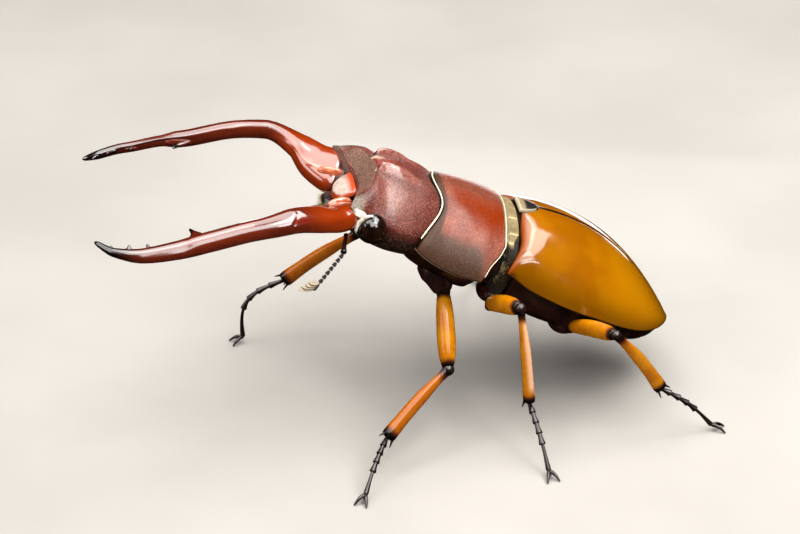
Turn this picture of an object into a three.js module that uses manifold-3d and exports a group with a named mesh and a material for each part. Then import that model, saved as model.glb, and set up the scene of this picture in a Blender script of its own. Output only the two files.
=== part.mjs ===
// A large male stag beetle of the long-jawed Prosopocoilus kind, standing with its head raised.
// Lengths are millimetres, angles are degrees and +Z is up. The beetle faces -X, its left side is
// -Y, and it stands on the plane z = 0. Each part of the trunk is drawn in its own pitched frame,
// in which x runs back along the part, y to the beetle's right and z up.

import * as THREE from 'three';
import { mergeVertices } from 'three/addons/utils/BufferGeometryUtils.js';
import Module from 'manifold-3d';

const wasm = await Module();
wasm.setup();

// ---------------------------------------------------------------------------------------------
// Driving dimensions
// ---------------------------------------------------------------------------------------------

const GAP = 0.32; // clearance between neighbouring pieces
const SHELL = 0.8; // thickness of the dorsal shields

const WAIST = [0, 0, 26.2]; // hind edge of the pronotum on the back's midline
const NECK_AHEAD = 10.25; // hind end of the head's axis, forward of the waist along the pronotum
const PITCH = { trunk: 19.3, pronotum: 24, head: 13.2, jaws: -1.6 }; // head-up tilt of each frame

const PRONOTUM = {
  length: 9.65,
  arch: 0.4, // rise of the disc's middle above its two ends
  sweep: 1.1, // how far the front margin curves back on each side of its middle
  fullness: 1.7, // exponent of the cross-section, 2 is an ellipse
  frontHalf: 9.3, // half width between the rounded front angles
  toothHalf: 11.24, // half width at the side teeth
  toothAt: 0.78, // where along the shield the side teeth stand, 0 front to 1 back
  hindHalf: 11.3, // half width that the shield would reach behind the teeth if it were not cut
  hindShare: 0.7, // share of that width left at the hind corners
  frontDrop: 6.2, // how far the side margin lies under the midline at the front angle,
  sideDrop: 7.2, // half way back
  toothDrop: 6.9, // and at the tooth
  sternum: 10.6, // depth of the chest under the midline
};

const HEAD = {
  length: 11,
  back: -0.25, // hind end, forward of the neck
  faceHeight: -5, // middle of the hollow front face
  cornerHalf: 8.25, // half width between the front corners
  cornerDrop: 1.53, // how far the front corners lie under the neck's top
  recess: 1.8, // how far the front edge's middle lies behind the corners
  ridgeAt: 7.2, // front ends of the two frontal ridges, forward of the neck
  ridgeHalf: 2.4, // how far the ridges' crests lie from the middle
  ridgeHeight: 1.15,
};

const EYE = { at: [-7.75, 8.2, -4.1], radius: 1.95 };

const ELYTRA = {
  front: 2.2, // front edge behind the waist
  sweep: 1.4, // how far the shoulders' front edge runs ahead of it
  end: 27,
  widest: 12.5,
  shoulderHalf: 9.15,
  half: 10.55,
  // Drop of the side edge under the waist, against the distance behind the waist.
  edgeDrop: [[2.2, 4.8], [5, 6.9], [9, 7.8], [14.5, 8.4], [20, 9.3], [27, 10.4]],
  endDrop: 10.4, // drop of the crown at the tip
  fullness: 1.85,
};

const SCUTELLUM = { half: 1.9, end: 4.8, thickness: 0.7 };

// Section sizes of the jaws against their reach forward of the head's front edge.
const JAW = {
  out: [[0, 5.3], [2.2, 7.7], [4, 9.8], [8, 12.5], [12, 13.5], [18, 13.9], [22, 14.5], [26, 14.3],
    [29.3, 12.95], [31.5, 10.9]],
  up: [[0, -2.6], [2.2, -1.8], [4, -0.5], [8, 1.05], [12, 0.94], [18, 0.14], [22, -0.25], [26, -0.6],
    [29.3, -0.5], [31.5, 0.1]],
  wide: [[0, 7.2], [2.2, 5.6], [4, 4.1], [6, 3.5], [8, 3.25], [12, 2.65], [19, 2.5], [21.5, 2.35],
    [26, 1.85], [29.3, 1.1], [31.5, 0.5]],
  thick: [[0, 3.6], [2.2, 3.3], [4, 3], [8, 2.5], [12, 2.3], [19, 2.15], [21.5, 1.4], [26, 1.3],
    [29.3, 1.15], [31.5, 0.5]],
  tilt: [[0, -22], [2.2, -10], [4, 10], [8, 35], [31.5, 38]], // how far the outer edge leans down
};
const JAW_ROOT = 1.3;
const JAW_REACH = 31.5;
// Inner teeth: reach forward, length from the jaw's middle line, rise of the point, root radius.
const JAW_TEETH = [
  [18.95, 3.3, 0.46, 0.8], [25.2, 1.8, 0.54, 0.5], [27.9, 1.44, 0.63, 0.45], [30, 0.8, 0.3, 0.35],
];

// Joints of the feelers and the legs in the standing pose, from the floor's point under the waist.
const FEELERS = {
  left: { elbow: [-21.7, -10.3, 26], club: [-24.8, -11.2, 22.7], lean: [-0.64, 0, -0.77] },
  right: { elbow: [-18.6, 9.6, 25.2], club: [-15, 10.4, 23], lean: [0.77, 0, -0.64] },
};
const LEGS = {
  fore_left: {
    coxa: [-8.4, -4.7, 18.4], knee: [-9.1, -13.4, 10.1], ankle: [-17.8, -19.6, 4.8], toe: [-21.9, -26.6],
  },
  fore_right: {
    coxa: [-8.4, 4.7, 18.4], knee: [-16.2, 13.7, 15.5], ankle: [-26.3, 15.3, 8.2], toe: [-33, 13.9],
  },
  mid_left: {
    coxa: [-3.1, -4.8, 15.6], knee: [-0.3, -14.6, 18.8], ankle: [0.5, -17.3, 6.7], toe: [2, -25],
  },
  mid_right: {
    coxa: [-3.1, 4.8, 15.6], knee: [-0.3, 14.6, 18.4], ankle: [0.5, 17.5, 6.5], toe: [1.6, 25.3],
  },
  hind_left: {
    coxa: [6.7, -6.2, 10.8], knee: [11.3, -17.2, 15.4], ankle: [17.7, -15.8, 6.2], toe: [25.3, -17],
  },
  hind_right: {
    coxa: [6.7, 6.2, 10.8], knee: [11.5, 17.6, 12], ankle: [15.5, 23.3, 3.4], toe: [18, 31],
  },
};
// How far each foot's chain of joints arches over the straight line from ankle to claws.
const FOOT_ARCH = {
  fore_left: 0.5, fore_right: 2.7, mid_left: 0.5, mid_right: 0.5, hind_left: 0.5, hind_right: 0.5,
};
const COXA = { fore: [1.9, 2.3, 2.1], mid: [1.5, 1.9, 1.5], hind: [2.2, 2.8, 1.35] }; // radii along x, y, z
const FEMUR = { fore: 1.38, mid: 1.2, hind: 1.1 }; // greatest radius
const TIBIA = { fore: 0.92, mid: 0.78, hind: 0.78 };
const KNEE = 0.5; // how far a femur and its tibia each stop short of the knee's axis
const CLAW = { length: 1.9, radius: 0.27, spread: 26 };
const FEMUR_BOW = 0.35;

// ---------------------------------------------------------------------------------------------
// Numbers and curves
// ---------------------------------------------------------------------------------------------

const DEG = Math.PI / 180;
const { lerp, clamp, smoothstep } = THREE.MathUtils;
const V = (x, y, z) => new THREE.Vector3(x, y, z);
const steps = (count) => Array.from({ length: count + 1 }, (_, i) => i / count);

// A smooth function through [x, value] pairs of rising x, which never overshoots between them.
function smooth(pairs) {
  const last = pairs.length - 1;
  const slope = (i) => (pairs[i + 1][1] - pairs[i][1]) / (pairs[i + 1][0] - pairs[i][0]);
  const tangents = pairs.map((_, i) => {
    if (i === 0) return slope(0);
    if (i === last) return slope(last - 1);
    const [before, after] = [slope(i - 1), slope(i)];
    return before * after <= 0 ? 0 : (2 * before * after) / (before + after);
  });
  return (x) => {
    const at = clamp(x, pairs[0][0], pairs[last][0]);
    const i = Math.max(0, Math.min(last - 1, pairs.findIndex((pair) => pair[0] >= at) - 1));
    const width = pairs[i + 1][0] - pairs[i][0];
    const t = (at - pairs[i][0]) / width;
    const ease = t * t * (3 - 2 * t);
    const pull = t * (1 - t) * width * (tangents[i] * (1 - t) - tangents[i + 1] * t);
    return lerp(pairs[i][1], pairs[i + 1][1], ease) + pull;
  };
}

// Depth of a rounded arch under its crown, from 0 at the middle to 1 at the edges, v = -1 and 1.
function archDepth(v, fullness) {
  return 1 - Math.max(0, 1 - Math.abs(v) ** fullness) ** (1 / fullness);
}

// ---------------------------------------------------------------------------------------------
// Closed solids
// ---------------------------------------------------------------------------------------------

// A geometry from points and triples of indices, turned so that its faces point out.
function closed(points, faces) {
  const geometry = new THREE.BufferGeometry().setFromPoints(points);
  let volume = 0;
  for (let i = 0; i < faces.length; i += 3) {
    const [a, b, c] = faces.slice(i, i + 3).map((index) => points[index]);
    volume += a.dot(b.clone().cross(c));
  }
  geometry.setIndex(volume < 0 ? faces.slice().reverse() : faces);
  return geometry;
}

// A solid through rings of equally many points, with each end closed by a fan to its middle.
function skin(rings) {
  const size = rings[0].length;
  const points = rings.flat();
  const faces = [];
  for (let i = 0; i + 1 < rings.length; i += 1) {
    for (let j = 0; j < size; j += 1) {
      const [a, b] = [i * size + j, i * size + ((j + 1) % size)];
      faces.push(a, b, a + size, b, b + size, a + size);
    }
  }
  for (const end of [0, rings.length - 1]) {
    const middle = points.length;
    points.push(rings[end].reduce((sum, point) => sum.add(point), V(0, 0, 0)).divideScalar(size));
    for (let j = 0; j < size; j += 1) {
      const [a, b] = [end * size + j, end * size + ((j + 1) % size)];
      faces.push(...(end === 0 ? [b, a, middle] : [a, b, middle]));
    }
  }
  return closed(points, faces);
}

// A curved plate between an outer and an inner grid of points, with walls around its edge.
function plate(outer, inner) {
  const [rows, columns] = [outer.length, outer[0].length];
  const points = [...outer.flat(), ...inner.flat()];
  const half = rows * columns;
  const faces = [];
  const wall = (a, b) => faces.push(a, a + half, b, b, a + half, b + half);
  for (let i = 0; i + 1 < rows; i += 1) {
    for (let j = 0; j + 1 < columns; j += 1) {
      const a = i * columns + j;
      faces.push(a, a + columns, a + 1, a + 1, a + columns, a + columns + 1);
      faces.push(half + a, half + a + 1, half + a + columns);
      faces.push(half + a + 1, half + a + columns + 1, half + a + columns);
    }
  }
  for (let j = 0; j + 1 < columns; j += 1) {
    wall(j + 1, j);
    wall((rows - 1) * columns + j, (rows - 1) * columns + j + 1);
  }
  for (let i = 0; i + 1 < rows; i += 1) {
    wall(i * columns, (i + 1) * columns);
    wall((i + 2) * columns - 1, (i + 1) * columns - 1);
  }
  return closed(points, faces.reverse());
}

// A limb along a path of stations { at, r }, where r is a radius or a [sideways, upward] pair.
function limb(stations, sides = 8) {
  const rings = stations.map(({ at, r }, i) => {
    const from = stations[Math.max(i - 1, 0)].at;
    const to = stations[Math.min(i + 1, stations.length - 1)].at;
    const along = to.clone().sub(from).normalize();
    const sideways = along.clone().cross(V(0, 0, 1));
    if (sideways.length() < 0.1) sideways.set(0, 1, 0);
    sideways.normalize();
    const upward = sideways.clone().cross(along);
    const [across, high] = Array.isArray(r) ? r : [r, r];
    return steps(sides).slice(0, -1).map((turn) => at.clone()
      .addScaledVector(sideways, across * Math.cos(turn * 2 * Math.PI))
      .addScaledVector(upward, high * Math.sin(turn * 2 * Math.PI)));
  });
  return skin(rings);
}

function ellipsoid(centre, radii, detail = 10) {
  const geometry = new THREE.SphereGeometry(1, detail, Math.ceil(detail * 0.6));
  return geometry.scale(...radii).translate(...centre);
}

function toSolid(geometry) {
  const bare = geometry.clone();
  bare.deleteAttribute('normal');
  bare.deleteAttribute('uv');
  const merged = mergeVertices(bare, 1e-4);
  return new wasm.Manifold(new wasm.Mesh({
    numProp: 3,
    vertProperties: new Float32Array(merged.attributes.position.array),
    triVerts: new Uint32Array(merged.index.array),
  }));
}

function toGeometry(solid) {
  const { vertProperties, triVerts, numProp } = solid.getMesh();
  const geometry = new THREE.BufferGeometry();
  const positions = [];
  for (let i = 0; i < vertProperties.length; i += numProp) {
    positions.push(...vertProperties.slice(i, i + 3));
  }
  geometry.setAttribute('position', new THREE.Float32BufferAttribute(positions, 3));
  return geometry.setIndex([...triVerts]);
}

function joined(...geometries) {
  return toGeometry(geometries.map(toSolid).reduce((sum, solid) => sum.add(solid)));
}

// ---------------------------------------------------------------------------------------------
// Scene graph: the beetle, the frames of its trunk, and its materials
// ---------------------------------------------------------------------------------------------

const beetle = new THREE.Group();

function frame(origin, pitch) {
  const group = new THREE.Group();
  group.position.set(...origin);
  group.rotation.y = pitch * DEG;
  beetle.add(group);
  group.updateMatrixWorld(true);
  return group;
}

const trunkFrame = frame(WAIST, PITCH.trunk);
const pronotumFrame = frame(WAIST, PITCH.pronotum);
const NECK = pronotumFrame.localToWorld(V(-NECK_AHEAD, 0, 0));
const headFrame = frame(NECK.toArray(), PITCH.head);
const BROW = headFrame.localToWorld(V(-HEAD.length, 0, -HEAD.cornerDrop));
const jawFrame = frame(BROW.toArray(), PITCH.jaws);

const material = (color, roughness, metalness = 0) => () => (
  new THREE.MeshStandardMaterial({ color, roughness, metalness }));
const MATERIALS = {
  shield: material(0x6b2a22, 0.45),
  jaw: material(0x8a2a12, 0.2),
  elytron: material(0xc07a12, 0.25),
  eye: material(0x120c08, 0.08),
  underside: material(0x2a0d0a, 0.35),
  fuzz: material(0x6f6648, 0.8),
  clypeus: material(0xa8401c, 0.2),
  legs: material(0xc4780f, 0.25),
  joints: material(0x140c0a, 0.3),
  club: material(0x9c9078, 0.7),
};

function add(name, geometry, kind, group = beetle) {
  const mesh = new THREE.Mesh(geometry, MATERIALS[kind]());
  mesh.name = name;
  group.add(mesh);
  mesh.updateMatrixWorld(true);
  return mesh;
}

// Cuts tools, closed geometries in the beetle's frame, out of a mesh, and keeps its main body.
function carve(mesh, tools) {
  const toLocal = mesh.matrixWorld.clone().invert();
  const solid = tools.reduce((body, tool) => (
    body.subtract(toSolid(tool.clone().applyMatrix4(toLocal)))), toSolid(mesh.geometry));
  const [main] = solid.decompose().sort((a, b) => b.volume() - a.volume());
  mesh.geometry = toGeometry(main);
}

const SIDES = { left: -1, right: 1 };

// ---------------------------------------------------------------------------------------------
// Wing cases and the trunk under them
// ---------------------------------------------------------------------------------------------

const elytraEdge = smooth(ELYTRA.edgeDrop.map(([x, drop]) => [x, -drop]));

function elytraCrown(x) {
  const t = Math.max(0, (x - SCUTELLUM.end) / (ELYTRA.end - SCUTELLUM.end));
  return 0.3 - (ELYTRA.endDrop + 0.3) * t ** 2.2;
}

function elytraHalf(x) {
  if (x < ELYTRA.widest) {
    const t = (x - ELYTRA.front) / (ELYTRA.widest - ELYTRA.front);
    return lerp(ELYTRA.shoulderHalf, ELYTRA.half, Math.sin((t * Math.PI) / 2));
  }
  const t = (x - ELYTRA.widest) / (ELYTRA.end - ELYTRA.widest);
  return ELYTRA.half * Math.max(0, 1 - t ** 2.3) ** 0.58;
}

// Half width of the scutellum, and of the notch that the wing cases leave for it.
function scutellumHalf(x) {
  const t = (x - ELYTRA.front + 0.5) / (SCUTELLUM.end - ELYTRA.front + 0.5);
  return t < 1 ? SCUTELLUM.half * Math.sqrt(1 - t ** 1.6) : 0;
}

// A point of the wing cases' surface: turn is 0 on the midline and 90 degrees at the side edge.
function elytraPoint(x, turn, inset) {
  const power = 2 / ELYTRA.fullness;
  const half = elytraHalf(x) - inset;
  const rise = elytraCrown(x) - inset - elytraEdge(x);
  return V(x, half * Math.sin(turn * DEG) ** power, elytraEdge(x) + rise * Math.cos(turn * DEG) ** power);
}

function elytron(side) {
  const stations = [0, 0.03, 0.1, 0.2, 0.32, 0.45, 0.58, 0.7, 0.8, 0.88, 0.94, 0.98, 0.996];
  const grid = (inner) => stations.map((t) => {
    const x = lerp(ELYTRA.front, ELYTRA.end, t);
    const thickness = Math.min(SHELL, 0.35 * elytraHalf(x), 0.5 * (elytraCrown(x) - elytraEdge(x)));
    const inset = inner ? thickness : 0;
    const suture = scutellumHalf(x) + GAP / 2;
    const start = Math.asin(Math.min(0.5, suture / (elytraHalf(x) - inset)) ** (ELYTRA.fullness / 2)) / DEG;
    return steps(9).map((s) => {
      const turn = lerp(start, 90, s);
      const point = elytraPoint(x, turn, inset);
      const ahead = ELYTRA.sweep * smoothstep(turn, 40, 88) * (1 - smoothstep(x, ELYTRA.front, 8));
      return V(point.x - ahead, side * point.y, point.z);
    });
  });
  return plate(grid(false), grid(true));
}

for (const [name, side] of Object.entries(SIDES)) {
  add(`elytron_${name}`, elytron(side), 'elytron', trunkFrame);
}

function scutellum() {
  const outline = new THREE.Shape();
  const edge = steps(6).map((t) => lerp(ELYTRA.front - 0.1, SCUTELLUM.end - 0.15, t));
  const half = (x) => Math.max(0.06, scutellumHalf(x) - GAP / 2);
  edge.forEach((x, i) => outline[i ? 'lineTo' : 'moveTo'](x, half(x)));
  edge.toReversed().forEach((x) => outline.lineTo(x, -half(x)));
  const geometry = new THREE.ExtrudeGeometry(outline, { depth: SCUTELLUM.thickness, bevelEnabled: false });
  return geometry.translate(0, 0, 0.25 - SCUTELLUM.thickness);
}
add('scutellum', scutellum(), 'fuzz', trunkFrame);

// A cross-section of the trunk: rounded over the top and flatter below the side line.
function trunkRing(x, { half, top, side, bottom }) {
  return steps(16).slice(0, -1).map((t) => {
    const turn = t * 2 * Math.PI;
    const above = Math.cos(turn) > 0;
    const power = above ? 2 / ELYTRA.fullness : 2 / 2.6;
    const height = above ? top - side : side - bottom;
    const z = side + Math.sign(Math.cos(turn)) * height * Math.abs(Math.cos(turn)) ** power;
    return V(x, half * Math.sign(Math.sin(turn)) * Math.abs(Math.sin(turn)) ** power, z);
  });
}

// The collar between pronotum and wing cases, which carries the middle legs.
function mesothorax() {
  const section = (x, shrink) => trunkRing(x, {
    half: 7.9 - shrink, top: -0.4 - shrink, side: -4.8, bottom: -10.3 + shrink,
  });
  return skin([section(0.35, 0.9), section(0.75, 0.1), section(ELYTRA.front - GAP, 0.2)]);
}

const BELLY = smooth([[2, -10.6], [8, -12], [16, -12.6], [22, -12.7], [26.2, -11.9]]);

function underElytra(from, to, count) {
  const inset = SHELL + GAP;
  return skin(steps(count).map((t) => {
    const x = lerp(from, to, t);
    return trunkRing(x, {
      half: elytraHalf(x) - inset - 0.1,
      top: elytraCrown(x) - inset - 0.1,
      side: Math.min(elytraEdge(x) + 0.2, elytraCrown(x) - inset - 0.35),
      bottom: BELLY(x),
    });
  }));
}

const MIDDLE = 12.7; // joint between the hind chest and the belly
const chestParts = [
  add('mesothorax', mesothorax(), 'fuzz', trunkFrame),
  add('metathorax', underElytra(ELYTRA.front, MIDDLE - GAP / 2, 5), 'underside', trunkFrame),
  add('abdomen', underElytra(MIDDLE + GAP / 2, 25.9, 7), 'underside', trunkFrame),
];

// ---------------------------------------------------------------------------------------------
// Pronotum and the front chest
// ---------------------------------------------------------------------------------------------

const pronotumHalf = smooth([[0, PRONOTUM.frontHalf], [0.05, 9.75], [0.2, 10.15], [0.5, 10.85],
  [PRONOTUM.toothAt, PRONOTUM.toothHalf], [1, PRONOTUM.hindHalf]]);
const pronotumDrop = smooth([[0, PRONOTUM.frontDrop], [0.25, 7], [0.5, PRONOTUM.sideDrop],
  [PRONOTUM.toothAt, PRONOTUM.toothDrop], [1, PRONOTUM.toothDrop]]);
// Share of the full width that is left between the side tooth and the hind corner.
const pronotumShare = smooth([[0, 1], [PRONOTUM.toothAt, 1], [0.84, 0.92], [0.94, 0.81],
  [1, PRONOTUM.hindShare]]);

// How far the pronotum's front margin lies behind its middle.
const frontMargin = (y) => PRONOTUM.sweep * Math.sin((Math.PI * y) / PRONOTUM.frontHalf) ** 2;

// A point of the pronotum: u runs from 0 at its front to 1 at its back, v from -1 left to 1 right.
function pronotumPoint(u, v, inset = 0) {
  const aside = v * pronotumShare(u);
  const edge = Math.abs(aside);
  const sweep = (1 - u) ** 2 * (frontMargin(aside * PRONOTUM.frontHalf) - 1.35 * edge ** 5);
  const crown = PRONOTUM.arch * Math.sin(Math.PI * u) ** 0.8;
  return V(
    PRONOTUM.length * (u - 1) + sweep,
    aside * (pronotumHalf(u) - inset),
    crown - (pronotumDrop(u) + crown) * archDepth(aside, PRONOTUM.fullness) - inset * (1 - edge ** 8),
  );
}

function pronotum() {
  const along = [0, 0.05, 0.14, 0.28, 0.44, 0.6, 0.72, PRONOTUM.toothAt, 0.84, 0.92, 1];
  const across = steps(12).map((t) => Math.sin((2 * t - 1) * 80 * DEG) / Math.sin(80 * DEG));
  const grid = (inset) => along.map((u) => across.map((v) => pronotumPoint(u, v, inset)));
  return plate(grid(0), grid(SHELL));
}
add('pronotum', pronotum(), 'shield', pronotumFrame);

// The front chest hangs under the shield.
function prosternum() {
  const inset = SHELL + GAP + 0.25;
  const bottom = smooth([[0, -9.9], [0.5, -PRONOTUM.sternum], [1, -9.8]]);
  return skin([0, 0.15, 0.35, 0.6, 0.82, 1].map((u) => {
    const half = Math.min(9.1, pronotumHalf(u) - inset - 0.2);
    const along = (y) => lerp(-9.25, -0.4, u) + frontMargin(y) * (1 - u) ** 2;
    const top = steps(10).map((t) => {
      const v = Math.sin((2 * t - 1) * 82 * DEG);
      const roof = pronotumPoint(u, (v * half) / (pronotumHalf(u) - inset), inset);
      return V(along(roof.y), roof.y, Math.min(roof.z, -0.4));
    });
    const under = steps(8).slice(1, -1).map((t) => {
      const turn = t * 180 * DEG;
      const z = -5.4 + (bottom(u) + 5.4) * Math.sin(turn) ** 0.7;
      const y = 0.97 * half * pronotumShare(u) * Math.cos(turn);
      return V(along(y), y, z);
    });
    return [...top, ...under];
  }));
}
const frontChest = add('prosternum', prosternum(), 'underside', pronotumFrame);

// ---------------------------------------------------------------------------------------------
// Head
// ---------------------------------------------------------------------------------------------

// Forward distances from the neck are positive here, so that the tables read front to back.
const headHalf = smooth([[HEAD.back, 7.1], [1.5, 8.4], [3, 8.85], [5, 9], [6.5, 8.7], [8, 8.5], [9.6, 8.9],
  [HEAD.length, HEAD.cornerHalf]]);
const headCrown = smooth([[HEAD.back, -0.45], [2, 0.45], [5, 0.85], [7.4, 0.85], [9, 0.45],
  [HEAD.length, -0.3]]);
const headSide = smooth([[HEAD.back, -4.7], [4, -4.1], [7.8, -3.1], [9.6, -2.3],
  [HEAD.length, -HEAD.cornerDrop]]);
const headBase = smooth([[HEAD.back, -9.3], [4, -8.9], [8, -8.1], [HEAD.length, -6.9]]);
// The face falls away in front of the ridges, in a shallow hollow that widens towards the jaws.
const faceDepth = smooth([[HEAD.ridgeAt, 0], [7.9, 0.4], [8.6, 0.7], [9.8, 1.2], [HEAD.length, 1.6]]);
const faceHalf = smooth([[HEAD.ridgeAt, 2.4], [8.5, 4], [9.5, 5], [HEAD.length, 6.2]]);

function headTop(forward, y) {
  const off = Math.abs(y);
  const fall = (off / headHalf(forward)) ** lerp(2.3, 5, smoothstep(forward, 6, 9));
  const along = smoothstep(forward, -0.5, 4) * (1 - smoothstep(forward, HEAD.ridgeAt, HEAD.ridgeAt + 0.7));
  const spread = (off - HEAD.ridgeHalf) / (off < HEAD.ridgeHalf ? 0.85 : 1.3);
  const face = 1 - smoothstep(off, 0.75 * faceHalf(forward), 1.2 * faceHalf(forward));
  return lerp(headCrown(forward), headSide(forward), fall)
    + HEAD.ridgeHeight * along * Math.exp(-(spread ** 2)) - faceDepth(forward) * face;
}

// A point of the head's surface. The front is hollow between its corners; the back is cut to the
// curve and the slant of the pronotum's front margin.
function headPoint(forward, y, z) {
  const hollow = HEAD.recess * (1 - (y / headHalf(forward)) ** 2);
  const nape = frontMargin(y) + z * Math.tan((PITCH.pronotum - PITCH.head) * DEG);
  const x = hollow * smoothstep(forward, 6, HEAD.length) + nape * (1 - smoothstep(forward, HEAD.back, 3));
  return V(x - forward, y, z);
}

function head() {
  const stations = [HEAD.back, 0.6, 2, 4, 5.8, HEAD.ridgeAt, 7.9, 8.6, 9.8, HEAD.length];
  const rings = stations.map((forward) => {
    const half = headHalf(forward);
    const side = headSide(forward);
    const top = steps(14).map((t) => {
      const y = half * Math.sin((2 * t - 1) * 78 * DEG) / Math.sin(78 * DEG);
      return headPoint(forward, y, headTop(forward, y));
    });
    const under = steps(10).slice(1, -1).map((t) => {
      const turn = t * 180 * DEG;
      const y = half * 0.98 * Math.sign(Math.cos(turn)) * Math.abs(Math.cos(turn)) ** 0.8;
      return headPoint(forward, y, side + (headBase(forward) - side) * Math.sin(turn) ** 0.75);
    });
    return [...top, ...under];
  });
  const inner = (z) => lerp(HEAD.faceHeight, z, 0.3);
  const face = rings.at(-1).map(({ y, z }) => headPoint(HEAD.length, 0.3 * y, inner(z)));
  return skin([...rings, face]);
}
const skull = add('head', head(), 'shield', headFrame);

for (const [name, side] of Object.entries(SIDES)) {
  const at = [EYE.at[0], side * EYE.at[1], EYE.at[2]];
  const socket = ellipsoid(at, Array(3).fill(EYE.radius + GAP), 12);
  carve(skull, [socket.applyMatrix4(headFrame.matrixWorld)]);
  add(`eye_${name}`, ellipsoid(at, Array(3).fill(EYE.radius), 12), 'eye', headFrame);
}

// ---------------------------------------------------------------------------------------------
// Jaws
// ---------------------------------------------------------------------------------------------

const jawCurves = Object.fromEntries(Object.entries(JAW).map(([key, pairs]) => [key, smooth(pairs)]));
const jawCentre = (reach, side) => V(-reach, side * jawCurves.out(reach), jawCurves.up(reach));

// Directions across a jaw at one reach: outward and down along its wide axis, and up across it.
function jawAxes(reach, side) {
  const ahead = Math.min(reach + 0.2, JAW_REACH);
  const behind = Math.max(reach - 0.2, 0);
  const along = jawCentre(ahead, side).sub(jawCentre(behind, side));
  along.y *= smoothstep(reach, -3, 5);
  along.normalize();
  const up = V(0, 0, 1).addScaledVector(along, -along.z).normalize();
  const out = up.clone().cross(along).multiplyScalar(-side).normalize();
  const tilt = jawCurves.tilt(reach) * DEG;
  return {
    wide: out.clone().multiplyScalar(Math.cos(tilt)).addScaledVector(up, -Math.sin(tilt)),
    thick: out.clone().multiplyScalar(Math.sin(tilt)).addScaledVector(up, Math.cos(tilt)),
    up,
    out,
  };
}

function jaw(side, grow = 0) {
  const reaches = [JAW_ROOT - grow, 2, 3.2, 4.6, 6.4, 8.5, 11, 14, 17, 19, 21, 23.5, 26, 28, 29.6, 30.8,
    JAW_REACH];
  const rings = reaches.map((reach) => {
    const at = Math.max(reach, 0);
    const { wide, thick } = jawAxes(at, side);
    const centre = jawCentre(at, side);
    centre.x -= reach - at;
    return steps(10).slice(0, -1).map((t) => centre.clone()
      .addScaledVector(wide, (jawCurves.wide(at) / 2 + grow) * Math.cos(t * 2 * Math.PI))
      .addScaledVector(thick, (jawCurves.thick(at) / 2 + grow) * Math.sin(t * 2 * Math.PI)));
  });
  return skin(rings);
}

function tooth([reach, length, rise, radius], side) {
  const { up, out } = jawAxes(reach, side);
  const root = jawCentre(reach, side).addScaledVector(out, -0.3);
  const point = (t) => root.clone().addScaledVector(out, (0.3 - length) * t).addScaledVector(up, rise * t);
  return limb([0, 0.35, 0.7, 1].map((t) => ({ at: point(t), r: lerp(radius, 0.25, t ** 0.8) })), 6);
}

for (const [name, side] of Object.entries(SIDES)) {
  const teeth = JAW_TEETH.map((sizes) => tooth(sizes, side));
  add(`mandible_${name}`, joined(jaw(side), ...teeth), 'jaw', jawFrame);
}
const jawTools = Object.values(SIDES).map((side) => jaw(side, GAP).applyMatrix4(jawFrame.matrixWorld));
carve(skull, jawTools);

// ---------------------------------------------------------------------------------------------
// Mouth and feelers
// ---------------------------------------------------------------------------------------------

// The face plate between the jaws, a rounded lobe that slopes forward and down.
function clypeus() {
  const half = smooth([[0, 2.7], [1.4, 2.2], [2, 1.2]]);
  return skin([0, 0.7, 1.4, 2].map((t) => steps(12).slice(0, -1).map((s) => {
    const turn = s * 2 * Math.PI;
    const z = -2.45 - 0.75 * t + lerp(0.5, 0.4, t / 2) * Math.sin(turn);
    return V(-9.55 - t, half(t) * Math.cos(turn), z);
  })));
}
const facePlate = add('clypeus', clypeus(), 'clypeus', headFrame);

// The brush of the lower mouth under the face plate.
function mouth() {
  const half = smooth([[0, 2.6], [1.5, 2.3], [2.6, 1.3]]);
  return skin([0, 0.8, 1.6, 2.6].map((t) => steps(12).slice(0, -1).map((s) => {
    const turn = s * 2 * Math.PI;
    const z = -5.5 + 0.1 * t + lerp(1, 0.55, t / 2.6) * Math.sin(turn);
    return V(-10.2 - t, half(t) * Math.cos(turn), z);
  })));
}
const brush = add('mouthparts', mouth(), 'underside', headFrame);
carve(facePlate, [...jawTools]);
carve(brush, [...jawTools]);

function inHead(x, y, z) {
  return headFrame.localToWorld(V(x, y, z));
}

for (const [name, side] of Object.entries(SIDES)) {
  const root = inHead(-10.4, side * 6.9, -5.9);
  const elbow = V(...FEELERS[name].elbow);
  const clubRoot = V(...FEELERS[name].club);
  const lean = V(...FEELERS[name].lean);
  const scape = steps(3).map((t) => ({
    at: root.clone().lerp(elbow, lerp(0.1, 0.96, t)), r: lerp(0.27, 0.34, t),
  }));
  add(`antenna_${name}_scape`, limb(scape, 6), 'joints');
  const beads = steps(8).map((t, i) => ({
    at: elbow.clone().lerp(clubRoot, lerp(0.1, 1, t)), r: i % 2 ? 0.34 : 0.26,
  }));
  const lamellae = [0, 1, 2].map((i) => {
    const start = clubRoot.clone().addScaledVector(lean, 0.48 * i);
    const tip = start.clone().add(V(-1.2 - 0.2 * i, side * 0.1, 0.25));
    return limb([0, 0.5, 1].map((t) => ({ at: start.clone().lerp(tip, t), r: [0.5, 0.27] })), 5);
  });
  const stem = limb([0, 1.1].map((t) => ({ at: clubRoot.clone().addScaledVector(lean, t), r: 0.3 })), 5);
  add(`antenna_${name}_club`, joined(limb(beads, 5), stem, ...lamellae), 'club');
  const palp = [[-11.6, 1.7, -6.9], [-12.6, 2.1, -7.3], [-13.3, 2.2, -8.1], [-13.2, 2.1, -8.8]];
  add(`palp_${name}`, limb(palp.map(([x, y, z]) => ({ at: inHead(x, side * y, z), r: 0.3 })), 6), 'joints');
}

// ---------------------------------------------------------------------------------------------
// Legs
// ---------------------------------------------------------------------------------------------

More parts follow.
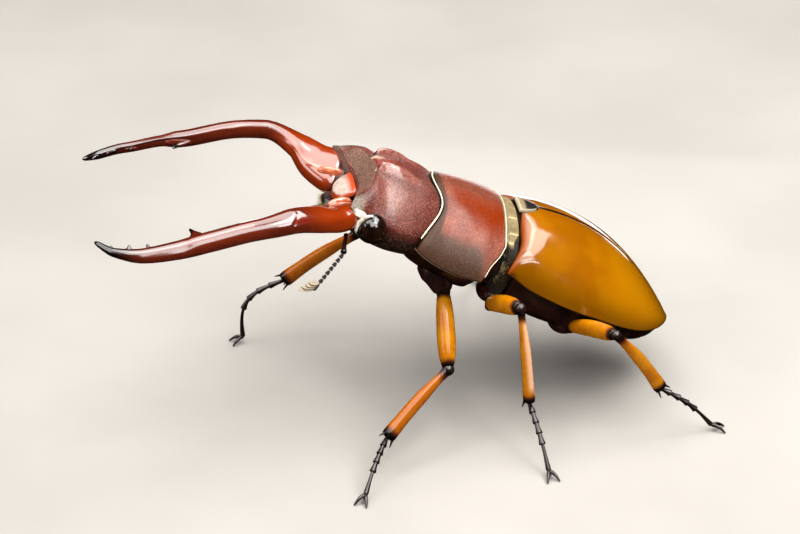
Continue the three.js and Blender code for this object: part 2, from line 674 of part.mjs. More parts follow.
// A point on the way from one joint to the next, bowed upward across the line between them.
function bowed(from, to, t, bow) {
  const line = to.clone().sub(from);
  const upward = line.clone().cross(V(0, 0, 1)).cross(line).normalize();
  return from.clone().addScaledVector(line, t).addScaledVector(upward, bow * Math.sin(Math.PI * t));
}

// Stations of a segment from one joint to the next; the radii are keyed along the segment.
function segment(from, to, trim, radii, bow = 0) {
  const length = from.distanceTo(to);
  return radii.map(([t, r]) => {
    const along = lerp(trim[0] / length, 1 - trim[1] / length, t);
    return { at: bowed(from, to, along, bow), r };
  });
}

// Flattens whatever would pass under the floor, so that a foot rests on small flats.
function flattened(geometry) {
  const { position } = geometry.attributes;
  for (let i = 0; i < position.count; i += 1) position.setZ(i, Math.max(position.getZ(i), 0));
  return geometry;
}

function tarsus(ankle, toe, arch) {
  const heel = toe.clone().sub(ankle).setZ(0).normalize();
  const wrist = toe.clone().addScaledVector(heel, -0.55 * CLAW.length).setZ(0.75);
  const joint = (t, r) => ({ at: bowed(ankle, wrist, lerp(0.07, 1, t / 5), arch), r });
  const beads = [0, 1, 2, 3].flatMap((k) => [joint(k + 0.06, 0.27), joint(k + 0.84, 0.43)]);
  const stations = [...beads, joint(4.06, 0.27), joint(5, 0.36)];
  const claws = [-1, 1].map((turn) => {
    const out = heel.clone().applyAxisAngle(V(0, 0, 1), turn * CLAW.spread * DEG);
    const path = [0, 0.4, 0.75, 1].map((t) => ({
      at: wrist.clone().addScaledVector(out, CLAW.length * t).setZ(lerp(0.8, 0.12, smoothstep(t, 0, 0.75))),
      r: CLAW.radius,
    }));
    return flattened(limb(path, 5));
  });
  return flattened(joined(limb(stations, 6), ...claws));
}

const tools = { fore: [], mid: [], hind: [] };
for (const [name, joints] of Object.entries(LEGS)) {
  const kind = name.split('_')[0];
  const coxa = V(...joints.coxa);
  const knee = V(...joints.knee);
  const ankle = V(...joints.ankle);
  const toe = V(...joints.toe, 0);
  const lead = knee.clone().sub(coxa).normalize();
  const seat = 1 / Math.hypot(lead.x / COXA[kind][0], lead.y / COXA[kind][1], lead.z / COXA[kind][2]);
  const femurRadii = (grow) => [[0, 0.75], [0.12, 0.95], [0.4, 1], [0.75, 0.92], [0.93, 0.74], [1, 0.5]]
    .map(([t, share]) => [t, share * FEMUR[kind] + grow]);
  const tibiaRadii = [[0, 0.55], [0.07, 0.85], [0.6, 0.95], [0.94, 1.12], [1, 0.8]]
    .map(([t, share]) => [t, share * TIBIA[kind]]);
  add(`leg_${name}_coxa`, ellipsoid(joints.coxa, COXA[kind]), 'joints');
  add(`leg_${name}_femur`, limb(segment(coxa, knee, [seat + GAP, KNEE], femurRadii(0), FEMUR_BOW)), 'legs');
  add(`leg_${name}_tibia`, limb(segment(knee, ankle, [KNEE, 0.1], tibiaRadii)), 'legs');
  add(`leg_${name}_tarsus`, tarsus(ankle, toe, FOOT_ARCH[name]), 'joints');
  tools[kind].push(ellipsoid(joints.coxa, COXA[kind].map((radius) => radius + GAP)));
  tools[kind].push(limb(segment(coxa, knee, [seat - 0.5, 0], femurRadii(GAP), FEMUR_BOW)));
}
const [middleChest, hindChest, belly] = chestParts;
carve(frontChest, tools.fore);
carve(middleChest, tools.mid);
carve(hindChest, [...tools.mid, ...tools.hind]);
carve(belly, tools.hind);

// ---------------------------------------------------------------------------------------------
// The origin is the point of the floor under the middle of the whole beetle.
// ---------------------------------------------------------------------------------------------

const box = new THREE.Box3().setFromObject(beetle);
const middle = box.getCenter(V(0, 0, 0));
beetle.position.set(-middle.x, -middle.y, -box.min.z);

export default beetle;
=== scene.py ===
# A life-size museum model of a long-jawed stag beetle, standing with its head raised.
# Shapes are drawn in millimetres in the beetle's own frames and are set down in metres over the
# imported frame. The beetle faces -X, its left side is -Y and it stands on z = 0. Each part of the
# trunk has a pitched frame, in which x runs back along the part, y to the right and z up.

import math

import bmesh
import bpy
import numpy as np
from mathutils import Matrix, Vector


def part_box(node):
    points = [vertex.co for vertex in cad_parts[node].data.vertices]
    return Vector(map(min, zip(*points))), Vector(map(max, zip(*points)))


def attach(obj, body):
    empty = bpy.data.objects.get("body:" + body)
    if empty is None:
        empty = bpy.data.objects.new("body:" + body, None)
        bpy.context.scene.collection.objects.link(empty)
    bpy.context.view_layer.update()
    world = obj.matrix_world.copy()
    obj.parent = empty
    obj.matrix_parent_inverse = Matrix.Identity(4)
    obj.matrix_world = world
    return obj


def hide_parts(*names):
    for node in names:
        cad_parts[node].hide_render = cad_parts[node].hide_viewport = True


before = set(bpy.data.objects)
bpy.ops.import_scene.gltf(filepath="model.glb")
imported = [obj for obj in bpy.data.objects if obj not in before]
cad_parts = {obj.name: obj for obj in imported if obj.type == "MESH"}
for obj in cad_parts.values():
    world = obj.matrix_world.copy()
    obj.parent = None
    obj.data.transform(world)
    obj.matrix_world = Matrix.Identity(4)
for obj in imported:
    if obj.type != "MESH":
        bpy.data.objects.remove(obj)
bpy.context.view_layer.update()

MM = 0.001
SIDES = {"left": -1, "right": 1}

# ---- Sizes, in millimetres and degrees ----

GAP = 0.32  # between neighbouring hard parts
SHELL = 0.8  # thickness of the wing cases and the pronotum
RIM = 0.45  # how far from its edge a shield starts to round off

WAIST = (0, 0, 26.2)
NECK_AHEAD = 10.25  # from the waist, along the pronotum
PITCH = {"trunk": 19.3, "pronotum": 24, "head": 13.2, "jaws": -1.6}

PRONOTUM = {
    "length": 9.65, "arch": 0.4, "sweep": 1.1, "fullness": 1.7, "front_half": 9.3,
    "tooth_half": 11.24, "tooth_at": 0.78, "sternum": 11,
}
BEAD_LIFT = 0.02  # how far the ivory beads stand off the pronotum
HEAD = {
    "length": 11, "back": -0.25, "face_height": -5, "corner_half": 8.25, "corner_drop": 1.53,
    "recess": 1.8,
}
NAPE_RINGS, FACE_RINGS = 8, 10  # rings of the head's skin behind its back edge and in its hollow front
EYE = {"at": (-7.75, 8.2, -4.1), "radius": 1.95, "grip": 2.12}
ELYTRA = {
    "front": 2.2, "end": 27, "widest": 12.5, "shoulder_half": 9.15, "half": 10.55,
    "end_drop": 10.4, "fullness": 1.85,
}
SCUTELLUM = {"half": 1.9, "end": 4.8, "thickness": 0.7}
COLLAR_LINE = -4.8  # height of the widest line of the collar and of the wing cases' front
MIDDLE = 12.7  # where the hind chest ends and the belly begins
BELLY = {"end": 25.9, "grooves": (15.2, 17.8, 20.3, 22.7, 24.6)}
JAW_ROOT = -0.9  # the jaws' bases reach back into the head's front corners
JAW_REACH = 31.5
# Inner teeth: reach forward, length from the jaw's middle line, rise of the point, root radius.
JAW_TEETH = (
    (18.95, 3.3, 0.46, 0.8), (25.2, 1.8, 0.54, 0.5), (27.9, 1.44, 0.63, 0.45), (30, 0.8, 0.3, 0.35),
)

FEELERS = {
    "left": {"elbow": (-21.7, -10.3, 26), "club": (-24.8, -11.2, 22.7), "lean": (-0.64, 0, -0.77)},
    "right": {"elbow": (-18.6, 9.6, 25.2), "club": (-15, 10.4, 23), "lean": (0.77, 0, -0.64)},
}
# Joints of each leg: coxa, knee, ankle and the point of the claws on the floor.
LEGS = {
    "fore_left": ((-8.4, -4.7, 18.4), (-9.1, -13.4, 10.1), (-17.8, -19.6, 4.8), (-21.9, -26.6, 0)),
    "fore_right": ((-8.4, 4.7, 18.4), (-16.2, 13.7, 15.5), (-26.3, 15.3, 8.2), (-33, 13.9, 0)),
    "mid_left": ((-3.4, -6, 14.7), (-0.3, -14.6, 18.8), (0.5, -17.3, 6.7), (2, -25, 0)),
    "mid_right": ((-3.4, 6, 14.7), (-0.3, 14.6, 18.4), (0.5, 17.5, 6.5), (1.6, 25.3, 0)),
    "hind_left": ((6.7, -6.2, 10.8), (11.3, -17.2, 15.4), (17.7, -15.8, 6.2), (25.3, -17, 0)),
    "hind_right": ((6.7, 6.2, 10.8), (11.5, 17.6, 12), (15.5, 23.3, 3.4), (18, 31, 0)),
}
FOOT_ARCH = {"fore_right": 2.7}
LEVEL_ARCH = 0.5  # arch of the other feet
# Radii of the hips along x, y and z, and of the legs' limbs.
COXA = {"fore": (1.9, 2.3, 2.1), "mid": (1.5, 1.9, 1.5), "hind": (2.2, 2.8, 1.35)}
FEMUR = {"fore": 1.38, "mid": 1.2, "hind": 1.1}
TIBIA = {"fore": 0.92, "mid": 0.78, "hind": 0.78}
KNEE = 0.58  # radius of a knee, as a share of the femur's
CLAW = {"length": 1.9, "height": 0.75, "spread": 26}
FEMUR_BOW = 0.35
TIBIA_BOW = 0.3

# ---- Numbers and curves ----


def lerp(a, b, t):
    return a + (b - a) * t


def step(x, low, high):
    """Rises smoothly from 0 at low to 1 at high."""
    t = np.clip((x - low) / (high - low), 0, 1)
    return t * t * (3 - 2 * t)


def hump(x, middle, width):
    return np.exp(-(((x - middle) / width) ** 2))


def smooth(*pairs):
    """A smooth function through (x, value) pairs of rising x, which never overshoots."""
    x, value = np.array(pairs, float).T
    slope = np.diff(value) / np.diff(x)
    product = slope[:-1] * slope[1:]
    total = np.where(product > 0, slope[:-1] + slope[1:], 1)
    inner = np.where(product > 0, 2 * product / total, 0)
    tangent = np.concatenate([slope[:1], inner, slope[-1:]])

    def curve(at):
        at = np.clip(np.asarray(at, float), x[0], x[-1])
        i = np.clip(np.searchsorted(x, at) - 1, 0, len(x) - 2)
        width = x[i + 1] - x[i]
        t = (at - x[i]) / width
        pull = t * (1 - t) * width * (tangent[i] * (1 - t) - tangent[i + 1] * t)
        return lerp(value[i], value[i + 1], t * t * (3 - 2 * t)) + pull

    return curve


def arch_depth(v, fullness):
    """Depth of a rounded arch under its crown, 0 at the middle and 1 at the edges."""
    return 1 - np.maximum(0, 1 - np.abs(v) ** fullness) ** (1 / fullness)


def crowded(count, crowd=0.85):
    """Steps from 0 to 1 that crowd together near both ends."""
    t = np.linspace(0, 1, count)
    return lerp(t, 0.5 - 0.5 * np.cos(np.pi * t), crowd)


def round_off(distance, reach):
    """The height of a quarter circle, 0 at distance 0 and 1 from reach on."""
    near = np.clip(distance / reach, 0, 1)
    return np.sqrt(np.maximum(0, 1 - (1 - near) ** 2))


def power_of(value, exponent):
    """A power that keeps the value's sign."""
    return np.sign(value) * np.abs(value) ** exponent


def stack(x, y, z):
    return np.stack(np.broadcast_arrays(x, y, z), axis=-1).astype(float)


def unit(vectors):
    return vectors / np.maximum(np.linalg.norm(vectors, axis=-1, keepdims=True), 1e-9)


def column(values):
    return np.asarray(values)[:, None]


# ---- Frames ----


def tilted(origin, pitch):
    """Maps points of a frame at origin, pitched head up, to the beetle's frame."""
    angle = math.radians(pitch)

    def place(points):
        x, y, z = np.moveaxis(np.asarray(points, float), -1, 0)
        cos, sin = math.cos(angle), math.sin(angle)
        return stack(x * cos + z * sin, y, z * cos - x * sin) + np.array(origin, float)

    return place


in_trunk = tilted(WAIST, PITCH["trunk"])
in_pronotum = tilted(WAIST, PITCH["pronotum"])
NECK = in_pronotum((-NECK_AHEAD, 0, 0))
in_head = tilted(NECK, PITCH["head"])
BROW = in_head((-HEAD["length"], 0, -HEAD["corner_drop"]))
in_jaws = tilted(BROW, PITCH["jaws"])


def packed_shift():
    """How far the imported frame's origin moves the beetle, found from the eyes' boxes."""
    centres = [np.mean([corner[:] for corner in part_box(f"eye_{side}")], axis=0) for side in SIDES]
    x, _, z = EYE["at"]
    return np.mean(centres, axis=0) / MM - in_head((x, 0, z))


SHIFT = packed_shift()


def to_metres(points):
    return (np.asarray(points) + SHIFT) * MM


# ---- Shapes and pieces ----


class Shape:
    """A closed shape: points in millimetres, faces, and a number per point for each named mark."""

    def __init__(self, points, faces, **marks):
        self.points = np.asarray(points, float).reshape(-1, 3)
        self.faces = outward(self.points, [tuple(face) for face in faces])
        self.marks = {key: np.broadcast_to(value, len(self.points)) for key, value in marks.items()}

    def moved(self, place):
        return Shape(place(self.points), self.faces, **self.marks)

    def marked(self, **marks):
        """The same shape with these marks alone."""
        return Shape(self.points, self.faces, **marks)


def outward(points, faces):
    """The faces of a closed shape, turned over if they point inward."""
    fans = np.array([(face[0], face[i], face[i + 1]) for face in faces for i in range(1, len(face) - 1)])
    a, b, c = (points[fans[:, i]] for i in range(3))
    return faces if np.sum(a * np.cross(b, c)) > 0 else [face[::-1] for face in faces]


def together(shapes):
    """One shape of several; a mark that some of them lack is 0 on those."""
    faces, start = [], 0
    for shape in shapes:
        faces += [tuple(index + start for index in face) for face in shape.faces]
        start += len(shape.points)
    keys = {key for shape in shapes for key in shape.marks}
    marks = {
        key: np.concatenate([shape.marks.get(key, np.zeros(len(shape.points))) for shape in shapes])
        for key in keys
    }
    return Shape(np.concatenate([shape.points for shape in shapes]), faces, **marks)


def spread(marks, shape):
    """Marks given per row, or per row and column, as one flat list per point."""
    flat = {}
    for key, value in marks.items():
        value = np.asarray(value, float)
        flat[key] = np.broadcast_to(column(value) if value.ndim == 1 else value, shape).ravel()
    return flat


def grid_faces(rows, columns, wrap=False):
    i, j = np.meshgrid(np.arange(rows - 1), np.arange(columns if wrap else columns - 1), indexing="ij")
    a, b = i * columns + j, i * columns + (j + 1) % columns
    return np.stack([a, b, b + columns, a + columns], axis=-1).reshape(-1, 4)


def skin(rings, **marks):
    """A solid through rings of equally many points, closed by a fan at each end."""
    rows, columns = rings.shape[:2]
    faces = [tuple(face) for face in grid_faces(rows, columns, wrap=True)]
    points = np.concatenate([rings.reshape(-1, 3), rings[:1].mean(axis=1), rings[-1:].mean(axis=1)])
    last = (rows - 1) * columns
    for j in range(columns):
        k = (j + 1) % columns
        faces += [(k, j, rows * columns), (last + j, last + k, rows * columns + 1)]
    flat = spread(marks, (rows, columns))
    marks = {key: np.append(value, [value[0], value[-1]]) for key, value in flat.items()}
    return Shape(points, faces, **marks)


def edge_distance(grid):
    """How far each point of a grid lies from the nearest end of its row and of its column."""
    nearest = []
    for axis in (0, 1):
        length = np.linalg.norm(np.diff(grid, axis=axis), axis=-1)
        pad = [(1, 0) if axis == 0 else (0, 0), (1, 0) if axis == 1 else (0, 0)]
        run = np.cumsum(np.pad(length, pad), axis=axis)
        nearest.append(np.minimum(run, np.take(run, [-1], axis=axis) - run))
    return nearest


def shield(outer, inner, rim=RIM, **marks):
    """A curved plate between two grids of points, whose edge is rounded off all the way round."""
    rows, columns = outer.shape[:2]
    edge = np.minimum(*edge_distance(outer))
    bulge = round_off(edge, rim)[..., None]
    middle = (outer + inner) / 2
    faces = grid_faces(rows, columns)
    points = [lerp(middle, grid, bulge).reshape(-1, 3) for grid in (outer, inner)]
    both = np.concatenate([faces, faces[:, ::-1] + rows * columns])
    flat = spread({**marks, "edge": edge}, (rows, columns))
    return Shape(np.concatenate(points), both, **{key: np.tile(value, 2) for key, value in flat.items()})


def spline(knots, t):
    """Points at t, from 0 to 1, on a smooth curve through the knots, and nothing past its ends."""
    knots = np.asarray(knots, float)
    if len(knots) == 2:
        return lerp(knots[0], knots[1], column(t))
    run = np.concatenate([[0], np.cumsum(np.linalg.norm(np.diff(knots, axis=0), axis=1))])
    tangent = np.gradient(knots, run, axis=0)
    at = np.asarray(t) * run[-1]
    i = np.clip(np.searchsorted(run, at) - 1, 0, len(run) - 2)
    width = column(run[i + 1] - run[i])
    s = column(at - run[i]) / width
    ease = s * s * (3 - 2 * s)
    pull = s * (1 - s) * width * (tangent[i] * (1 - s) - tangent[i + 1] * s)
    return lerp(knots[i], knots[i + 1], ease) + pull


def limb(knots, radius, rings=40, sides=20, cap=(0.3, 0.3), toward=(0, 0, 1), crowd=0.7, **marks):
    """A limb with rounded ends along a curve through the knots.

    radius(t) gives its radius, or an (across, high) pair, from t = 0 to 1; toward is the high side.
    The marks "start" and "finish" hold the distance in millimetres from either end.
    """
    t = crowded(rings, crowd)
    path = spline(knots, t)
    length = np.linalg.norm(np.diff(path, axis=0), axis=1)
    run = np.concatenate([[0], np.cumsum(length)])
    along = unit(np.gradient(path, axis=0))
    sideways = np.cross(along, np.array(toward, float))
    sideways = np.where(np.linalg.norm(sideways, axis=1, keepdims=True) < 0.1, (0, 1, 0), sideways)
    sideways = unit(sideways - along * np.sum(sideways * along, axis=1, keepdims=True))
    upward = np.cross(sideways, along)
    ends = round_off(run, cap[0]) * round_off(run[-1] - run, cap[1])
    sizes = radius(t)
    sizes = sizes if isinstance(sizes, tuple) else (sizes, sizes)
    across, high = [np.broadcast_to(size, t.shape) * ends for size in sizes]
    turn = np.linspace(0, 2 * np.pi, sides, endpoint=False)
    points = path[:, None] + sideways[:, None] * (column(across) * np.cos(turn))[..., None]
    points = points + upward[:, None] * (column(high) * np.sin(turn))[..., None]
    turn = np.broadcast_to(turn, (rings, sides))
    return skin(points, **marks, start=run, finish=run[-1] - run, turn=turn)


def ball(centre, radii, rows=32, columns=48):
    turn = np.linspace(0, 2 * np.pi, columns, endpoint=False)
    lean = column(np.linspace(0.02, np.pi - 0.02, rows))
    around = stack(np.sin(lean) * np.cos(turn), np.sin(lean) * np.sin(turn), np.cos(lean) + 0 * turn)
    return skin(around * np.array(radii, float) + np.array(centre, float))


def hairs(roots, directions, lengths, radius=0.028):
    """Tapering hairs, each a three-sided spike that is bent once along its length."""
    seed = np.random.default_rng(7)
    points, faces = [], []
    for root, direction, length in zip(roots, unit(directions), lengths):
        aside = unit(np.cross(direction, seed.normal(size=3)))
        other = np.cross(direction, aside)
        start = len(points)
        for share, width in ((0, 1), (0.55, 0.75)):
            middle = root + direction * length * share + other * length * 0.12 * share
            for turn in (0, 2 * math.pi / 3, 4 * math.pi / 3):
                points.append(middle + radius * width * (aside * math.cos(turn) + other * math.sin(turn)))
        points.append(root + direction * length + other * length * 0.25)
        for j in range(3):
            k = (j + 1) % 3
            faces.append((start + j, start + k, start + 3 + k, start + 3 + j))
            faces.append((start + 3 + j, start + 3 + k, start + 6))
        faces.append((start, start + 2, start + 1))
    return Shape(points, faces)


def bake_map(mesh):
    """Gives a coat of hairs its bake map, which is a plain view from above."""
    places = np.zeros(len(mesh.vertices) * 3)
    mesh.vertices.foreach_get("co", places)
    places = places.reshape(-1, 3)
    low, high = places.min(axis=0), places.max(axis=0)
    corner = np.zeros(len(mesh.loops), dtype=int)
    mesh.loops.foreach_get("vertex_index", corner)
    share = (places - low) / (high - low)
    layer = mesh.uv_layers.new(name="OFBake")
    layer.data.foreach_set("uv", (share[corner][:, :2] * 0.96 + 0.02).ravel())


def piece(name, shape, look, slot, *nodes):
    """Makes a Blender object of a shape, which rides on the body and stands for its CAD nodes.

    A piece whose name ends in _hairs gets a bake map as well.
    """
    mesh = bpy.data.meshes.new(name)
    mesh.from_pydata(to_metres(shape.points).tolist(), [], [list(map(int, face)) for face in shape.faces])
    for key, values in shape.marks.items():
        mesh.attributes.new(key, "FLOAT", "POINT").data.foreach_set("value", values.astype(np.float32))
    body = bmesh.new()
    body.from_mesh(mesh)
    bmesh.ops.remove_doubles(body, verts=body.verts, dist=1e-7)
    body.to_mesh(mesh)
    body.free()
    mesh.polygons.foreach_set("use_smooth", [True] * len(mesh.polygons))
    mesh.materials.append(look)
    if name.endswith("_hairs"):
        bake_map(mesh)
    thing = set_down(name, mesh)
    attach(thing, "root")
    if nodes:
        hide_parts(*nodes)


def set_down(name, data, place=(0, 0, 0), target=None):
    """Adds an object at a place in metres, turned so that its -Z axis points at the target."""
    thing = bpy.data.objects.new(name, data)
    thing.location = place
    if target is not None:
        thing.rotation_euler = (Vector(target) - thing.location).to_track_quat("-Z", "Y").to_euler()
    bpy.context.scene.collection.objects.link(thing)
    return thing


# ---- Materials ----

# Short names of the shader's sockets.
SOCKETS = {
    "coat": "Coat Weight", "coat_rough": "Coat Roughness", "specular": "Specular IOR Level",
    "sheen": "Sheen Weight", "sheen_rough": "Sheen Roughness", "sheen_tint": "Sheen Tint",
    "depth": "Subsurface Weight", "depth_reach": "Subsurface Radius", "depth_scale": "Subsurface Scale",
}
AMBER = {"depth": 0.08, "depth_reach": (1.0, 0.6, 0.02), "depth_scale": 0.5 * MM}
PATCHY = (0.35, 0.65)  # the part of a noise over which one colour passes into another


class Field:
    """A number or colour that varies over a surface: a shader socket that takes arithmetic."""

    def __init__(self, look, socket):
        self.look, self.socket = look, socket

    def math(self, operation, a, b):
        return self.look.node("Math", {0: a, 1: b}, operation=operation)

    def __add__(self, other):
        return self.math("ADD", self, other)

    def __mul__(self, other):
        return self.math("MULTIPLY", self, other)

    def __sub__(self, other):
        return self.math("SUBTRACT", self, other)

    def __rsub__(self, other):
        return self.math("SUBTRACT", other, self)

    def __pow__(self, power):
        return self.math("POWER", self, power)

    def most(self, other):
        return self.math("MAXIMUM", self, other)

    def ramp(self, low, high):
        """Rises smoothly from 0 where this is low to 1 where it is high."""
        limits = {"Value": self, "From Min": low, "From Max": high}
        return self.look.node("MapRange", limits, interpolation_type="SMOOTHSTEP")

    def span(self, low, high):
        """Spreads 0 to 1 from low to high."""
        return self.look.node("MapRange", {"Value": self, "To Min": low, "To Max": high})


class Look:
    """A procedural material, built from noises and from the marks that the meshes carry."""

    def __init__(self, name, ground, **surface):
        self.material = bpy.data.materials.new(name)
        self.material.use_nodes = True
        self.tree = self.material.node_tree
        self.shader = self.tree.nodes["Principled BSDF"]
        for key, value in surface.items():
            self.shader.inputs[SOCKETS[key]].default_value = value
        self.colour = rgb(*ground)
        where = self.node("TexCoord", {}, "Object")
        self.place = self.node("Mapping", {"Vector": where, "Scale": (1 / MM, 1 / MM, 1 / MM)})

    def node(self, kind, inputs, output=0, **settings):
        made = self.tree.nodes.new(f"ShaderNode{kind}")
        for key, value in settings.items():
            setattr(made, key, value)
        for key, value in inputs.items():
            if isinstance(value, Field):
                self.tree.links.new(value.socket, made.inputs[key])
            else:
                made.inputs[key].default_value = value
        return Field(self, made.outputs[output])

    def mark(self, name):
        return self.node("Attribute", {}, "Fac", attribute_name=name, attribute_type="GEOMETRY")

    def noise(self, size, detail=3.0, roughness=0.5, stretch=None):
        """Noise from 0 to 1 with features of about the size in millimetres."""
        place = self.node("Mapping", {"Vector": self.place, "Scale": stretch}) if stretch else self.place
        inputs = {"Vector": place, "Scale": 1 / size, "Detail": detail, "Roughness": roughness}
        return self.node("TexNoise", inputs, "Fac")

    def pits(self, spacing, size):
        """Round dots about the spacing apart, whose size is a share of it: 1 in their middles."""
        cells = self.node("TexVoronoi", {"Vector": self.place, "Scale": 1 / spacing}, "Distance")
        return cells.ramp(size, 0.3 * size)

    def punctures(self):
        """The fine rough points of the head and the pronotum, and pale glints among them, which are painted
        highlights.
        """
        points = self.pits(0.21, 0.5)
        return points * 0.9, points * self.noise(0.9, 2).ramp(0.2, 0.6)

    def paint(self, share, *colour):
        """Covers the surface with a colour by a share that varies from 0 to 1."""
        self.colour = self.node("Mix", {0: share, 6: self.colour, 7: rgb(*colour)}, 2, data_type="RGBA")

    def link(self, socket, field):
        self.tree.links.new(field.socket, self.shader.inputs[socket])

    def finish(self, rough, height, distance, strength):
        """Links colour, roughness and the bump, whose full height is a distance in millimetres."""
        self.link("Base Color", self.colour)
        self.link("Roughness", rough)
        bump = {"Height": height, "Strength": strength, "Distance": distance * MM}
        self.link("Normal", self.node("Bump", bump))
        return self.material


def rgb(*colour):
    """A colour given as on screen, 0 to 255, in linear light."""
    shares = [value / 255 for value in colour]
    return *(x / 12.92 if x < 0.04045 else ((x + 0.055) / 1.055) ** 2.4 for x in shares), 1.0


def head_look():
    look = Look("head_cuticle", (88, 38, 30), coat_rough=0.1, specular=0.4)
    patch, grain = look.noise(2.5, 2), look.noise(0.28, 4, 0.6)
    ridge, cheek = look.mark("ridge"), look.mark("cheek")
    points, glints = look.punctures()
    look.paint(patch.ramp(*PATCHY), 112, 52, 42)
    # Painted reflection: the valley between the ridges is painted a deeper red.
    look.paint(look.mark("valley") * 0.8, 128, 34, 22)
    look.paint(look.mark("frons") * 0.75, 122, 98, 84)
    # Pale grey on the front corners: partly their grey-green tone, partly a painted sheen.
    look.paint(look.mark("corner") * 0.7, 120, 116, 104)
    # Painted sheen: the upper cheeks are painted a paler pinkish brown.
    look.paint(cheek * 0.6, 160, 104, 90)
    # Painted highlight: the ridges are painted paler along their length.
    look.paint(ridge * 0.4, 196, 132, 120)
    look.paint(look.mark("orbit"), 92, 26, 18)
    look.paint((look.mark("under") + patch.span(-0.1, 0.1)).ramp(0.1, 0.42), 24, 16, 12)
    # Painted highlights: pale glints on the granules.
    look.paint(glints * 0.32, 184, 134, 116)
    look.paint(grain.ramp(0.6, 0.35) * 0.55, 44, 18, 14)
    # Painted shade: dark in the crease before each ridge's tip.
    look.paint(look.mark("crease").ramp(0.35, 0.9), 20, 9, 8)
    # Painted shadow: dark under each ridge's tip.
    look.paint(look.mark("gap"), 14, 7, 6)
    look.paint(look.mark("lip") * 0.9, 222, 202, 172)
    look.paint(look.mark("margin").ramp(0.2, 0.05), 20, 11, 9)
    look.link("Coat Weight", ridge.most(cheek * 0.42))
    rough = look.noise(0.5, 3).span(0.27, 0.4) - ridge * 0.2
    return look.finish(rough, (1.0 - ridge * 0.98) * (grain + points), 0.06, 0.75)


def pronotum_look():
    look = Look("pronotum_cuticle", (120, 60, 44), coat_rough=0.3, specular=0.1)
    patch, grain = look.noise(3, 2), look.noise(0.28, 4, 0.6)
    glow, ashen = look.mark("glow"), look.mark("ashen")
    dull = 1.0 - (glow * 0.85).most(ashen * 0.5)
    points, glints = look.punctures()
    look.paint(patch.ramp(*PATCHY), 140, 74, 56)
    look.paint(glow, 122, 40, 3)
    # Darker grey-brown at the front edge, low on the flanks and faintly down the middle: partly the
    # cuticle's grey, partly painted shade on the flanks and the front edge.
    look.paint((ashen + patch.span(-0.2, 0.2)).ramp(0.2, 0.8) * 0.95, 58, 46, 34)
    # Painted highlights: pale glints on the granules, only where the surface is not dulled.
    look.paint(glints * dull**2.0 * 0.36, 214, 162, 138)
    look.paint(grain.ramp(0.6, 0.35) * 0.45, 78, 34, 24)
    look.paint(look.mark("edge").ramp(0.4, 0.15), 26, 14, 10)
    # Painted highlight: a pale line along the side margins.
    look.paint(look.mark("flank").ramp(0.2, 0.1), 190, 158, 126)
    look.link("Coat Weight", dull**2.0 * 0.48)
    rough = look.noise(0.5, 3).span(0.3, 0.42) - glow * 0.16
    return look.finish(rough, (grain + points) * dull.span(0.3, 1.0), 0.055, 0.75)


def bead_look():
    look = Look("ivory_bead", (206, 180, 138), specular=0.5)
    strands = look.noise(0.12, 3, 0.6)
    look.paint(strands.ramp(0.35, 0.6), 246, 236, 212)
    return look.finish(strands.span(0.35, 0.6), strands, 0.04, 0.6)


def canthus_look():
    # The bracket's ivory colour and its paler patches are a painted highlight.
    look = Look("canthus_rim", (176, 160, 140), specular=0.5, coat=0.3, coat_rough=0.15)
    patch = look.noise(0.4, 3)
    look.paint(patch.ramp(0.35, 0.6), 240, 232, 218)
    look.paint(look.mark("finish").ramp(0.7, 0.1), 96, 80, 66)
    return look.finish(patch.span(0.22, 0.45), look.noise(0.15, 3), 0.03, 0.5)


def eye_look():
    look = Look("eye_facets", (14, 8, 6), coat=0.8, coat_rough=0.03, specular=0.6)
    facets = look.pits(0.07, 0.6)
    look.paint(look.noise(0.8, 2).ramp(*PATCHY), 34, 18, 10)
    return look.finish(facets.span(0.08, 0.18), facets, 0.004, 0.3)


def jaw_look():
    look = Look("jaw_lacquer", (80, 24, 9), coat=1.0, coat_rough=0.08, specular=0.9)
    patch = look.noise(2.2, 3, stretch=(0.4, 1, 1))
    reach = look.mark("reach")
    look.paint(patch.ramp(*PATCHY), 98, 32, 12)
    look.paint(reach.ramp(7.5, 4.0), 132, 42, 3)
    look.paint(look.mark("carina") * 0.7, 206, 92, 44)
    # Painted shade: dark red in the pressed facet.
    look.paint(look.mark("facet") * 0.8, 110, 22, 10)
    look.paint(reach.ramp(0.6, -0.4), 50, 14, 8)
    look.paint((reach + patch.span(-1.2, 1.2)).ramp(24.5, 29.5), 16, 8, 7)
    look.paint(look.mark("inner") * 0.9, 26, 11, 9)
    look.paint(look.mark("tooth"), 12, 7, 6)
    height = look.noise(0.25, 3) + look.pits(0.5, 0.2) * -0.5
    return look.finish(look.noise(0.7, 3).span(0.1, 0.26), height, 0.008, 0.35)


